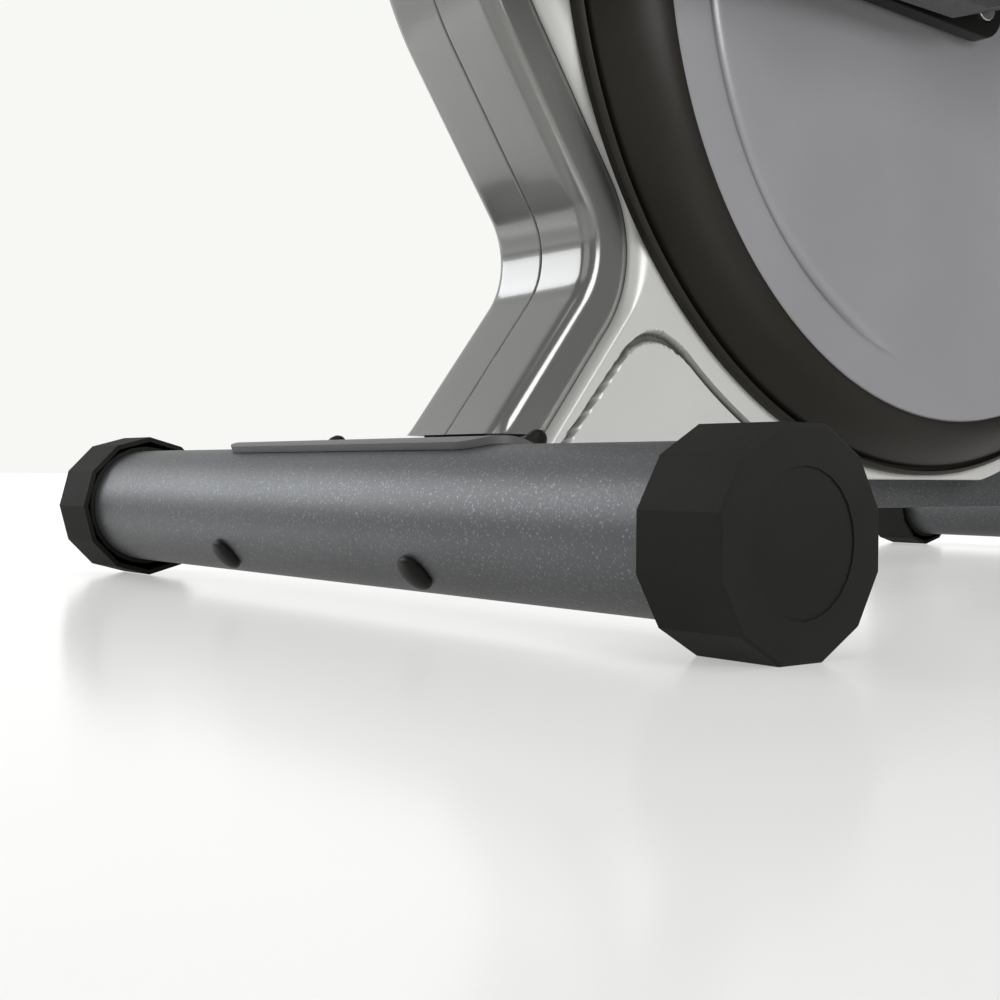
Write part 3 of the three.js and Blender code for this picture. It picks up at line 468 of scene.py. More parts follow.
def walled(
    name: str, outer: Array, inner: Array, wrap_rows: bool = False, wrap_cols: bool = False
) -> bpy.types.Object:
    """A wall between two grids of the same size, with its open edges closed by strips.

    Args:
        name: the piece's name.
        outer: outside surface, rows by cols by 3.
        inner: inside surface, point for point behind the outside.
        wrap_rows: whether the last row joins the first.
        wrap_cols: whether the last column joins the first.

    Returns:
        The new object.
    """
    rows, cols = outer.shape[:2]
    count = rows * cols
    skin = grid_faces(rows, cols, wrap_rows, wrap_cols)
    faces = [skin, skin[:, ::-1] + count]
    index = np.arange(count).reshape(rows, cols)
    if not wrap_rows:
        faces += [edge_strip(index[0], count, wrap_cols), edge_strip(index[-1], count, wrap_cols)]
    if not wrap_cols:
        faces += [edge_strip(index[:, 0], count, wrap_rows), edge_strip(index[:, -1], count, wrap_rows)]
    points = np.concatenate([outer.reshape(-1, 3), inner.reshape(-1, 3)])
    return mesh_object(name, points, np.concatenate(faces))


def mark_creases(obj: bpy.types.Object, values: Array) -> None:
    """Stores how deep in a groove each vertex is, which the finish turns into painted shade.

    Args:
        obj: the piece.
        values: one for each vertex, from 0 on open surface to 1 in the bottom of a groove.
    """
    attribute = obj.data.attributes.new(GROOVE_SHADE_MASK, "FLOAT", "POINT")
    attribute.data.foreach_set("value", np.ascontiguousarray(values, np.float32))


def vertex_places(obj: bpy.types.Object) -> Array:
    """Reads where the mesh's vertices are.

    Args:
        obj: the piece.

    Returns:
        Their places, n by 3.
    """
    flat = np.zeros(len(obj.data.vertices) * 3, np.float32)
    obj.data.vertices.foreach_get("co", flat)
    return flat.reshape(-1, 3).astype(float)


def edge_strip(line: Array, count: int, wrap: bool) -> Array:
    """Quads between a line of outer points and the inner points behind them.

    Args:
        line: numbers of the outer points, in order.
        count: how much higher an inner point's number is than the outer one's.
        wrap: whether the last point joins the first.

    Returns:
        The quads, m by 4.
    """
    after = np.roll(line, -1) if wrap else line[1:]
    here = line if wrap else line[:-1]
    return np.stack([here, after, after + count, here + count], -1)


def revolved(name: str, profile: Array, x: float, z: float, segments: int = 128) -> bpy.types.Object:
    """A body of revolution about an axis along Y.

    Each (r, y) of the profile goes round at a height of y: forward it is at x plus r times the cosine of t,
    and upward at z plus r times the sine of t.

    Args:
        name: the piece's name.
        profile: closed outline as (r, y), n by 2.
        x: where the axis is, forward.
        z: where the axis is, upward.
        segments: points round the axis.

    Returns:
        The new object.
    """
    t = np.linspace(0, 2 * np.pi, segments, endpoint=False)[:, None]
    r = profile[None, :, 0]
    y = np.broadcast_to(profile[None, :, 1], (segments, len(profile)))
    points = np.stack([x + r * np.cos(t), y, z + r * np.sin(t)], -1)
    return closed_grid(name, points)


def rounded_run(corners: Sequence[Sequence[float]], reach: float, steps: int = 14) -> Array:
    """A path of straight runs whose corners are parabolas.

    A bend goes from B to A round the corner C as (1 - t) squared B plus 2 t (1 - t) C plus t squared A.

    Args:
        corners: the path's corners, ends included.
        reach: distance from a corner at which its bend starts and ends.
        steps: points in each bend.

    Returns:
        n by 3 points.
    """
    points = np.asarray(corners, float)
    inner = points[1:-1]
    before, after = points[:-2] - inner, points[2:] - inner
    before = (inner + reach * before / np.linalg.norm(before, axis=1, keepdims=True))[:, None]
    after = (inner + reach * after / np.linalg.norm(after, axis=1, keepdims=True))[:, None]
    t = np.linspace(0, 1, steps)[None, :, None]
    bends = (1 - t) ** 2 * before + 2 * t * (1 - t) * inner[:, None] + t**2 * after
    return np.concatenate([points[:1], bends.reshape(-1, 3), points[-1:]])


def swept(
    name: str,
    path: Array,
    radius: float | Array,
    bore: float = 0.0,
    across: Numbers = (1, 0, 0),
    sides: int = 40,
) -> bpy.types.Object:
    """A round bar or tube: at each point of the path a circle, square to the path.

    The circle is cos t times one direction plus sin t times another. The first is across, made square to the
    path, and the second is square to both.

    Args:
        name: the piece's name.
        path: n by 3 points.
        radius: one radius, or one for each point.
        bore: inside radius, or 0 for a solid bar.
        across: a direction that the path never runs along.
        sides: points round the circle.

    Returns:
        The new object.
    """
    run = np.gradient(path, axis=0)
    run /= np.linalg.norm(run, axis=1, keepdims=True)
    first = np.asarray(across, float) - (run @ np.asarray(across, float))[:, None] * run
    first /= np.linalg.norm(first, axis=1, keepdims=True)
    second = np.cross(run, first)
    t = np.linspace(0, 2 * np.pi, sides, endpoint=False)[None, :, None]
    ring = np.cos(t) * first[:, None] + np.sin(t) * second[:, None]
    size = np.broadcast_to(radius, len(path))[:, None, None]
    if bore:
        return walled(name, path[:, None] + size * ring, path[:, None] + bore * ring, wrap_cols=True)
    foot, top = path[:1, None] + 0 * ring[:1], path[-1:, None] + 0 * ring[:1]
    skin = np.concatenate([foot, path[:, None] + size * ring, top])
    return mesh_object(name, skin, grid_faces(*skin.shape[:2], False, True))


def turned_bar(
    name: str, axis: tuple[float, float], radius: float, ends: tuple[float, float], bore: float = 0.0
) -> bpy.types.Object:
    """A bar or bush along Y whose two edges are broken by a millimetre.

    Args:
        name: the piece's name.
        axis: where the axis is, as (x, z).
        radius: outside radius.
        ends: the two ends along Y, lower one first.
        bore: inside radius, or 0 for a solid bar.

    Returns:
        The new object.
    """
    ease = 0.001
    low, high = ends
    edge = [(radius - ease, low), (radius, low + ease), (radius, high - ease), (radius - ease, high)]
    return revolved(name, np.array([(bore, low), *edge, (bore, high)]), *axis, segments=72)


def eased(wave: Array, power: float) -> Array:
    """The wave's size raised to a power, with its sign kept."""
    return np.sign(wave) * np.abs(wave) ** power


def rounded_block(name: str, low: Numbers, high: Numbers, power: float = 0.16) -> bpy.types.Object:
    """A block with eased edges: a ball whose sines and cosines are raised to a small power.

    Args:
        name: the piece's name.
        low: lowest corner.
        high: highest corner.
        power: 1 gives a ball, and towards 0 the edges sharpen.

    Returns:
        The new object.
    """
    rings, around = 40, 80
    middle = (np.asarray(low) + np.asarray(high)) / 2
    half = (np.asarray(high) - np.asarray(low)) / 2
    u = np.linspace(-np.pi / 2, np.pi / 2, rings)[:, None]
    v = np.linspace(0, 2 * np.pi, around, endpoint=False)[None, :]
    width = eased(np.cos(u), power)
    unit = [width * eased(np.cos(v), power), width * eased(np.sin(v), power), eased(np.sin(u), power) + 0 * v]
    return mesh_object(name, middle + half * np.stack(unit, -1), grid_faces(rings, around, False, True))


def smooth_step(t: Array) -> Array:
    """3 t squared less 2 t cubed, with t kept between 0 and 1."""
    t = np.clip(t, 0.0, 1.0)
    return t * t * (3 - 2 * t)


def soft_min(a: Array, b: Array, reach: float) -> Array:
    """The smaller of two values, rounded off where they are within reach of each other.

    Args:
        a: one value.
        b: the other.
        reach: how close they are when the rounding starts.

    Returns:
        The rounded smaller value.
    """
    h = np.clip(0.5 + 0.5 * (b - a) / reach, 0, 1)
    return b + (a - b) * h - reach * h * (1 - h)


def dress(
    obj: bpy.types.Object,
    node: str,
    sharp: float = 32.0,
    finish: str = "",
    slot: str = "",
    stands: bool = True,
) -> bpy.types.Object:
    """Gives a piece its finish, sets its sharp edges and lets it stand for its CAD nodes.

    Args:
        obj: the piece, in place.
        node: the CAD node it stands for, whose body and slot it takes.
        sharp: edges that turn more than this, in degrees, stay sharp.
        finish: a finish of its own, where the slot's usual one doesn't suit it.
        slot: a slot of its own, where it isn't the node's.
        stands: whether the piece stands for the node, or only rides with it.

    Returns:
        The same piece.
    """
    slot = slot or SLOT_OF[node]
    obj.data.materials.clear()
    obj.data.materials.append(FINISHES[finish or slot].material())
    obj.data.shade_smooth()
    obj.data.set_sharp_from_angle(angle=math.radians(sharp))
    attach(obj, frame["nodes"][node]["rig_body"])
    if stands:
        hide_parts(node)
    log.info("piece %s, %d faces", obj.name, len(obj.data.polygons))
    return obj


def refined(node: str, bevel: float = 0.0008, limit: float = 32.0) -> bpy.types.Object:
    """A welded copy of a CAD node with its edges eased.

    Args:
        node: the CAD node.
        bevel: width of the eased edges in metres.
        limit: edges that turn more than this, in degrees, are eased.

    Returns:
        The new piece.
    """
    mesh = frame["nodes"][node].data.copy()
    work = bmesh.new()
    work.from_mesh(mesh)
    bmesh.ops.remove_doubles(work, verts=work.verts, dist=WELD)
    bmesh.ops.dissolve_limit(work, angle_limit=math.radians(0.5), verts=work.verts, edges=work.edges)
    work.to_mesh(mesh)
    work.free()
    obj = bpy.data.objects.new(node + "_skin", mesh)
    bpy.context.scene.collection.objects.link(obj)
    dress(obj, node, sharp=limit)
    ease = obj.modifiers.new("eased_edges", "BEVEL")
    ease.width = bevel
    ease.segments = 2
    ease.limit_method = "ANGLE"
    ease.angle_limit = math.radians(limit)
    ease.harden_normals = True
    return obj


# ------------------------------------------------------------------ places shared by the sub-assemblies
@dataclass(frozen=True)
class Datum:
    """Axes read from the frame, in metres."""

    front_x: float
    rear_x: float
    axis_z: float
    tube_radius: float
    tube_half: float

    @classmethod
    def read(cls) -> "Datum":
        """Works the axes out from the two stabilisers' boxes.

        Returns:
            The axes.
        """
        low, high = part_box("front_stabiliser")
        rear_low, rear_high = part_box("rear_stabiliser")
        radius = (high.z - low.z) / 2
        return cls((low.x + high.x) / 2, (rear_low.x + rear_high.x) / 2, (low.z + high.z) / 2, radius, high.y)


@dataclass
class PostLine:
    """The side outline of the bent post's front face.

    A straight leg leans back, a knee of small radius turns it forward, and a wide bend brings it upright.
    """

    datum: Datum
    lean_back: float = math.radians(37.3)
    lean_forward: float = math.radians(34)
    foot_x: float = -0.0619
    foot_z: float = 0.0976
    knee_radius: float = 0.0475
    knee_z: float = 0.1762
    upper_radius: float = 0.2
    face_x: float = -0.03

    def run(self, bottom: float, top: float) -> Array:
        """Points of the face from bottom to top.

        Args:
            bottom: height of the first point.
            top: height of the last point.

        Returns:
            n by 3: x in the frame, z, and the lean in radians.
        """
        slope = math.tan(-self.lean_back)
        low = np.linspace(bottom, self.knee_z, 14, endpoint=False)
        leg_x = self.foot_x + (low - self.foot_z) * slope
        leg = np.stack([leg_x, low, np.full_like(low, -self.lean_back)], -1)
        end_x = self.foot_x + (self.knee_z - self.foot_z) * slope
        centre_x = end_x + self.knee_radius * math.cos(self.lean_back)
        centre_z = self.knee_z + self.knee_radius * math.sin(self.lean_back)
        lean = np.linspace(-self.lean_back, self.lean_forward, 30)
        knee_x = centre_x - self.knee_radius * np.cos(lean)
        knee = np.stack([knee_x, centre_z + self.knee_radius * np.sin(lean), lean], -1)
        run_x = self.face_x - self.upper_radius * (1 - math.cos(self.lean_forward)) - knee[-1, 0]
        bend_z = knee[-1, 1] + run_x / math.tan(self.lean_forward)
        t = np.linspace(0, 1, 10)[1:-1, None]
        straight = knee[-1] + t * (np.array([knee[-1, 0] + run_x, bend_z, self.lean_forward]) - knee[-1])
        centre_x = self.face_x - self.upper_radius
        centre_z = bend_z + self.upper_radius * math.sin(self.lean_forward)
        lean = np.linspace(self.lean_forward, 0, 20)
        bend_x = centre_x + self.upper_radius * np.cos(lean)
        bend = np.stack([bend_x, centre_z - self.upper_radius * np.sin(lean), lean], -1)
        high = np.linspace(bend[-1, 1], top, 10)[1:]
        upright = np.stack([np.full_like(high, self.face_x), high, np.zeros_like(high)], -1)
        line = np.concatenate([leg, knee, straight, bend, upright])
        line[:, 0] += self.datum.front_x
        return line


# ------------------------------------------------------------------ sub-assemblies
@dataclass
class Stabiliser:
    """One cross tube with its twelve-sided caps, saddle plate and bolts."""

    datum: Datum
    end: str
    wall: float = 0.002
    plate_gap: float = 0.0003
    plate_thickness: float = 0.004
    plate_half: float = 0.133
    plate_front: float = math.radians(67.5)
    plate_back: float = math.radians(200)
    plate_corner: float = 0.02
    bolt_spread: float = 0.098
    bolt_angle: float = math.radians(139)
    head_radius: float = 0.0105
    head_height: float = 0.005
    head_rim: float = 0.0006
    shank_radius: float = 0.004
    shank_proud: float = 0.0218

    @property
    def x(self) -> float:
        """The tube axis."""
        return self.datum.front_x if self.end == "front" else self.datum.rear_x

    @property
    def facing(self) -> int:
        """1 where the bolt heads face forward, -1 where they face back."""
        return 1 if self.end == "front" else -1

    def build(self) -> None:
        """Makes every piece of this end."""
        self.tube()
        self.plate()
        for side in Side:
            self.bolt(side)
            refined(f"{self.end}_nut_{side.word}", 0.0004)
            refined(f"{self.end}_cap_{side.word}", 0.0007, 20.0)

    def tube(self) -> None:
        """A round tube, its closed profile running out, along and back inside."""
        r, h = self.datum.tube_radius, self.datum.tube_half
        y = np.linspace(-h, h, 24)
        profile = np.concatenate([
            np.stack([np.full_like(y, r), y], -1),
            np.stack([np.full_like(y, r - self.wall), y[::-1]], -1),
        ])
        obj = revolved(f"{self.end}_tube", profile, self.x, self.datum.axis_z, 160)
        dress(obj, f"{self.end}_stabiliser")

    def plate(self) -> None:
        """A saddle plate: a sheet round the tube whose corners are drawn in along a quarter circle."""
        inner = self.datum.tube_radius + self.plate_gap
        angle = np.linspace(self.plate_front, self.plate_back, 90)[:, None]
        edge = np.minimum(angle - self.plate_front, self.plate_back - angle) * inner
        short = np.clip(self.plate_corner - edge, 0, None)
        half = self.plate_half - self.plate_corner + np.sqrt(self.plate_corner**2 - short**2)
        y = np.linspace(-1, 1, 60)[None, :] * half
        turn = angle if self.facing > 0 else np.pi - angle
        outside = self._sheet(inner + self.plate_thickness, turn, y)
        obj = walled(f"{self.end}_plate", outside, self._sheet(inner, turn, y))
        dress(obj, f"{self.end}_saddle_plate", finish="saddle_steel")

    def _sheet(self, radius: float, turn: Array, y: Array) -> Array:
        """Points at a distance from the tube's axis, for each angle round it and each place along it.

        Args:
            radius: the distance from the axis.
            turn: the angles, rows by 1.
            y: places along the tube, rows by cols.

        Returns:
            rows by cols by 3 points.
        """
        x = self.x + radius * np.cos(turn) + 0 * y
        return np.stack([x, y, self.datum.axis_z + radius * np.sin(turn) + 0 * y], -1)

    def bolt(self, side: Side) -> None:
        """A carriage bolt: a domed head, height times the cosine across it, on a plain shank.

        Args:
            side: which of the two bolts.
        """
        r = self.datum.tube_radius
        t = np.linspace(0, np.pi / 2, 14)
        base = -r - self.plate_gap
        rise = self.head_rim + (self.head_height - self.head_rim) * np.cos(t)
        dome = np.stack([self.head_radius * np.sin(t), base - rise], -1)
        end = r + self.shank_proud
        thin = self.shank_radius
        rest = np.array([[self.head_radius, base], [thin, base], [thin, end], [0.0, end]])
        profile = np.concatenate([dome, rest])
        along = Vector((self.facing * math.cos(self.bolt_angle), 0, math.sin(self.bolt_angle)))
        turn = np.array(Vector((0, 1, 0)).rotation_difference(along).to_matrix())
        a = np.linspace(0, 2 * np.pi, 48, endpoint=False)[:, None]
        s = profile[None, :, 0]
        height = np.broadcast_to(profile[None, :, 1], (len(a), len(profile)))
        local = np.stack([s * np.cos(a), height, s * np.sin(a)], -1)
        place = np.array([self.x, side.value * self.bolt_spread, self.datum.axis_z])
        node = f"{self.end}_bolt_{side.word}"
        dress(closed_grid(node + "_head", local @ turn.T + place), node)


@dataclass
class Post:
    """The two halves of the glossy cover over the bent steel post."""

    line: PostLine
    half: float = 0.0456
    seam: float = 0.0003
    seam_round: float = 0.0011
    corner: float = 0.0095
    depth: float = 0.034
    wall: float = 0.0025
    bottom: float = 0.0955
    top: float = 0.525

    def section(self) -> tuple[Array, Array]:
        """The half cover's section, from the seam across the face, round the corner and back along the side.

        Returns:
            The outside as (depth, y), and the inside: the same kept one wall away from face and side.
        """
        q = np.linspace(0, np.pi / 2, 7)
        lip = np.stack([self.seam_round * (1 - np.sin(q)), self.seam + self.seam_round * (1 - np.cos(q))], -1)
        across = np.linspace(self.seam + self.seam_round * 1.5, self.half - self.corner, 8)
        face = np.stack([np.zeros_like(across), across], -1)
        q = np.linspace(0, np.pi / 2, 14)[1:]
        corner = np.stack([self.corner * (1 - np.cos(q)), self.half - self.corner * (1 - np.sin(q))], -1)
        back = np.linspace(self.corner, self.depth, 8)[1:]
        side = np.stack([back, np.full_like(back, self.half)], -1)
        outer = np.concatenate([lip, face, corner, side])
        inner = outer.copy()
        inner[:, 0] = np.clip(outer[:, 0], self.wall, None)
        inner[:, 1] = np.clip(outer[:, 1], None, self.half - self.wall)
        return outer, inner

    def build(self) -> None:
        """Carries the section along the post's line: depth runs square to the line, y across the machine."""
        run = self.line.run(self.bottom, self.top)
        outer, inner = self.section()
        for side in Side:
            grids = [self._carried(run, s, side) for s in (outer, inner)]
            obj = walled(f"post_shell_{side.word}", grids[0], grids[1])
            dress(obj, f"post_cover_{side.word}")

    def _carried(self, run: Array, section: Array, side: Side) -> Array:
        """Carries one section along the post.

        A point d deep goes to x less d times the cosine of the lean, and z plus d times its sine.

        Args:
            run: the post's face as (x, z, lean).
            section: the section as (d, y).
            side: which half of the cover.

        Returns:
            Grid of points, run by section by 3.
        """
        x, z, lean = (run[:, k][:, None] for k in range(3))
        d, y = section[None, :, 0], section[None, :, 1]
        y = np.broadcast_to(y * side.value, (len(run), len(section)))
        points = np.stack([x - d * np.cos(lean), y, z + d * np.sin(lean)], -1)
        points[:, :, 2] = np.maximum(points[:, :, 2], self.bottom)
        return points


@dataclass
class Casing:
    """The silver drive casing, the dark dished rings and the round side panels."""

    line: PostLine
    datum: Datum
    ring_x: float = -0.437
    ring_z: float = 0.4137
    panel_z: float = 0.394
    half: float = 0.055
    bottom: float = 0.071
    radius: float = 0.352
    opening: float = 0.318
    edge_depth: float = 0.0285
    flare: float = 0.017
    edge_round: float = 0.003
    wall: float = 0.0025
    recess_radius: float = 0.3535
    recess_depth: float = 0.0068
    recess_wall: float = 0.0013
    recess_corner: float = 0.045
    recess_lean: float = math.radians(40.5)
    recess_foot: tuple[float, float] = (-0.1045, 0.094)
    recess_bottom: float = 0.08
    recess_low_corner: float = 0.012
    groove: float = 0.0052
    floor_depth: float = 0.001
    face_top: float = 0.535
    crown: tuple[float, float] = (-0.006, 0.545)
    collar_z: float = 0.515
    post_edge: float = 0.0464
    rim_ends: tuple[float, float, float, float] = (0.0003, 0.0315, 0.0462, 0.049)
    ring_radius: float = 0.3397
    ring_gap: float = 0.0003
    ring_rim: Profile = ((0.0, 0.0602), (0.001, 0.0611), (0.0045, 0.0624))
    ring_groove: Profile = ((0.0052, 0.0618), (0.0056, 0.0572), (0.0092, 0.0572), (0.0098, 0.0622))
    ring_lip: Profile = ((0.0006, 0.0851), (0.0, 0.0843), (0.0, 0.0822))
    ring_top: tuple[float, float] = (0.002, 0.0853)
    ring_back: float = 0.012
    panel_radius: float = 0.2827
    panel_y: float = 0.0849
    panel_bulge: float = 0.003
    accent_radius: float = 0.2505
    accent_start: float = math.radians(-76)
    accent_depth: float = 0.0036
    accent_fade: float = 0.35
    accent_inside: float = 0.0028
    accent_outside: float = 0.0011

    @property
    def centre_x(self) -> float:
        """How far forward the ring's centre is."""
        return self.datum.front_x + self.ring_x

    def build(self) -> None:
        """Makes the casing, ring and panel of each side."""
        for side in Side:
            self.shell(side)
            self.ring(side)
            self.panel(side)

    def outline(self) -> tuple[Array, Array, Array]:
        """The casing's side outline, seen from the ring's centre.

        Returns:
            Angle, radius and zone of each point by rising angle. Zone is 0 on the round back, 1 along the
            flat bottom, 2 along the post and 3 by the mast collar.
        """
        cx = self.centre_x
        run = self.line.run(self.bottom - 0.03, self.face_top)
        front_x = run[:, 0] - self.edge_depth * np.cos(run[:, 2])
        front_z = run[:, 1] + self.edge_depth * np.sin(run[:, 2])
        keep = front_z > self.bottom
        front_x, front_z = front_x[keep], front_z[keep]
        crown = np.array([front_x[-1] + self.crown[0], self.crown[1]])
        dx, dz = crown[0] - cx, crown[1] - self.ring_z
        touch = math.atan2(dz, dx) + math.acos(self.radius / math.hypot(dx, dz))
        low = math.pi + math.asin((self.ring_z - self.bottom) / self.radius)
        arc = np.linspace(touch, low, 160)
        flat_x = np.linspace(cx + self.radius * math.cos(low), front_x[0], 60)[1:]
        xs = np.concatenate([front_x, crown[:1], cx + self.radius * np.cos(arc), flat_x])
        flat_z = np.full_like(flat_x, self.bottom)
        zs = np.concatenate([front_z, crown[1:], self.ring_z + self.radius * np.sin(arc), flat_z])
        front = np.where(front_z > self.collar_z, 3, 2)
        zone = np.concatenate([front, [3], np.zeros(len(arc)), np.ones(len(flat_x))])
        angle = np.arctan2(zs - self.ring_z, xs - cx)
        order = np.argsort(angle)
        return angle[order], np.hypot(xs - cx, zs - self.ring_z)[order], zone[order]

    def recess(self, x: Array, z: Array) -> Array:
        """Depth of the three-cornered recess.

        Its back edge is an arc round the ring's centre, its front edge runs along the post and its lower edge
        along the bottom; the three are joined by a soft minimum, which rounds the corners. A groove runs
        just inside the edge.

        Args:
            x: places on the side, forward.
            z: places on the side, upward.

        Returns:
            How far below the flat side each place is.
        """
        behind_arc = np.hypot(x - self.centre_x, z - self.ring_z) - self.recess_radius
        foot_x, foot_z = self.datum.front_x + self.recess_foot[0], self.recess_foot[1]
        from_post = (foot_x - x) * math.cos(self.recess_lean) - (z - foot_z) * math.sin(self.recess_lean)
        inside = soft_min(behind_arc, from_post, self.recess_corner)
        inside = soft_min(inside, z - self.recess_bottom, self.recess_low_corner)
        floor = self.floor_depth * smooth_step(inside / self.recess_wall)
        bed = smooth_step(inside / self.recess_wall) * smooth_step((self.groove - inside) / self.recess_wall)
        return np.maximum(floor, self.recess_depth * bed)

    def shell(self, side: Side) -> None:
        """The half casing as rays from the ring's centre: flat side, eased edge, then the rim wall inwards.

        Args:
            side: which half.
        """
        cx = self.centre_x
        known_angle, known_radius, known_zone = self.outline()
        fine = np.linspace(math.radians(-66), math.radians(-32), 230)
        rest = np.linspace(math.radians(-32), math.radians(294), 300)[1:]
        angle = np.concatenate([fine, rest])
        wrapped = (angle + np.pi) % (2 * np.pi) - np.pi
        reach = np.interp(wrapped, known_angle, known_radius, period=2 * np.pi)
        nearest = np.abs(wrapped[:, None] - known_angle[None, :]).argmin(1)
        zone = known_zone[nearest]
        end_y = np.array(self.rim_ends)[zone.astype(int)]
        ease = np.where(zone == 2, self.flare, self.edge_round)
        drop = np.where(zone == 2, self.half - self.post_edge, self.edge_round)
        level = np.concatenate([
            np.linspace(self.opening, self.recess_radius - 0.001, 12, endpoint=False),
            np.linspace(self.recess_radius - 0.001, self.recess_radius + 0.006, 14),
        ])
        spread = np.linspace(0, 1, 58)[None, 1:]
        turn = np.linspace(0, np.pi / 2, 12)[None, 1:]
        room = (reach - ease - self.opening)[:, None]
        shrink = np.minimum(1.0, room * 0.9 / (level[-1] - self.opening))
        near = self.opening + (level[None, :] - self.opening) * shrink
        flat = np.concatenate([near, near[:, -1:] + spread * (self.opening + room - near[:, -1:])], 1)
        round_r = (reach - ease)[:, None] + ease[:, None] * np.sin(turn)
        round_y = self.half - drop[:, None] * (1 - np.cos(turn))
        inwards = (np.minimum(end_y, round_y[:, -1]) - round_y[:, -1])[:, None]
        rim_y = round_y[:, -1:] + np.linspace(0, 1, 4)[None, 1:] * inwards
        r = np.concatenate([flat, round_r, np.broadcast_to(reach[:, None], rim_y.shape)], 1)
        y = np.concatenate([np.full_like(flat, self.half), round_y, rim_y], 1)
        x = cx + r * np.cos(angle)[:, None]
        z = self.ring_z + r * np.sin(angle)[:, None]
        y = y - self.recess(x, z) * (y > self.half - 1e-5)
        inner_r = np.minimum(r, reach[:, None] - self.wall)
        inner_y = np.minimum(y - self.wall, self.half - self.wall)
        inner_y = np.where(r >= reach[:, None] - 1e-7, y, inner_y)
        outer = np.stack([x, y * side.value, z], -1)
        inner_x = cx + inner_r * np.cos(angle)[:, None]
        inner_z = self.ring_z + inner_r * np.sin(angle)[:, None]
        inner = np.stack([inner_x, inner_y * side.value, inner_z], -1)
        obj = walled(f"casing_shell_{side.word}", outer, inner, wrap_rows=True)
        # painted shade in the recess's groove, strongest where it is deepest
        place = vertex_places(obj)
        depth = self.recess(place[:, 0], place[:, 2]) / self.recess_depth
        mark_creases(obj, smooth_step(depth * 1.6 - 0.6))
        dress(obj, f"casing_{side.word}", sharp=50.0)

    def ring(self, side: Side) -> None:
        """The dished ring: circles whose centre drops as they narrow, with a bevelled rim and a groove.

        Args:
            side: which ring.
        """
        base, big, small = self.half + self.ring_gap, self.ring_radius, self.panel_radius
        rim = [(big, base), *((big - inset, y) for inset, y in self.ring_rim)]
        groove = [(big - inset, y) for inset, y in self.ring_groove]
        start_r, start_y = groove[-1]
        end_r, end_y = small + self.ring_top[0], self.ring_top[1]
        t = np.linspace(0, 1, 22)[1:]
        face_r = start_r + t * (end_r - start_r)
        face_y = start_y + (end_y - start_y) * np.sin(t * np.pi / 2) ** 0.9
        lip = [(small + outset, y) for outset, y in self.ring_lip]
        back = [(big - self.ring_back, base)]
        loops = np.array(rim + groove + list(zip(face_r, face_y)) + lip + back)
        share = np.clip((big - loops[:, 0]) / (big - small), 0, 1)
        centre_z = self.ring_z - (self.ring_z - self.panel_z) * share
        a = np.linspace(0, 2 * np.pi, 256, endpoint=False)[:, None]
        r = loops[None, :, 0]
        y = np.broadcast_to(loops[None, :, 1] * side.value, (len(a), len(loops)))
        points = np.stack([self.centre_x + r * np.cos(a), y, centre_z[None, :] + r * np.sin(a)], -1)
        dress(closed_grid(f"ring_{side.word}", points), f"casing_ring_{side.word}", sharp=40.0)

    def panel(self, side: Side) -> None:
        """The round panel: a shallow dome with a crease along a circle that fades out at both ends, with
        painted shade along the crease.

        Args:
            side: which panel.
        """
        cx = self.centre_x
        edge = self.panel_radius - self.ring_gap
        middle, creased = np.linspace(0.015, 0.235, 26), np.linspace(0.237, 0.256, 26)
        r = np.concatenate([middle, creased, np.linspace(0.258, edge - 0.001, 8), [edge]])
        a = np.linspace(0, 2 * np.pi, 320, endpoint=False)[:, None]
        wrapped = (a + np.pi) % (2 * np.pi) - np.pi
        dome = self.panel_y + self.panel_bulge * (1 - (r / edge) ** 2)
        y = dome[None, :] - self.accent_depth * self.accent(r[None, :], wrapped)
        y[:, -1] -= 0.0009
        grid = np.stack([cx + r * np.cos(a), y * side.value, self.panel_z + r * np.sin(a)], -1)
        back = grid.copy()
        back[:, :, 1] -= self.wall * side.value
        obj = walled(f"panel_{side.word}", grid, back, wrap_rows=True)
        # painted shade along the accent crease
        place = vertex_places(obj)
        dx, dz = place[:, 0] - cx, place[:, 2] - self.panel_z
        mark_creases(obj, self.accent(np.hypot(dx, dz), np.arctan2(dz, dx)))
        dress(obj, f"side_panel_{side.word}")

    def accent(self, radius: Array, angle: Array) -> Array:
        """The panel's crease: it falls off exponentially, slowly inside its circle and fast outside.

        Args:
            radius: distances from the panel's centre.
            angle: directions from it, in radians.

        Returns:
            Values from 0 on open surface to 1 in the bottom of the crease.
        """
        start, fade = self.accent_start, self.accent_fade
        rise = smooth_step((angle - start) / fade) * smooth_step((-start - angle) / fade)
        gap = radius - self.accent_radius
        inside = np.exp(np.minimum(gap, 0) / self.accent_inside)
        outside = np.exp(-np.maximum(gap, 0) / self.accent_outside)
        return np.where(gap < 0, inside, outside) * rise


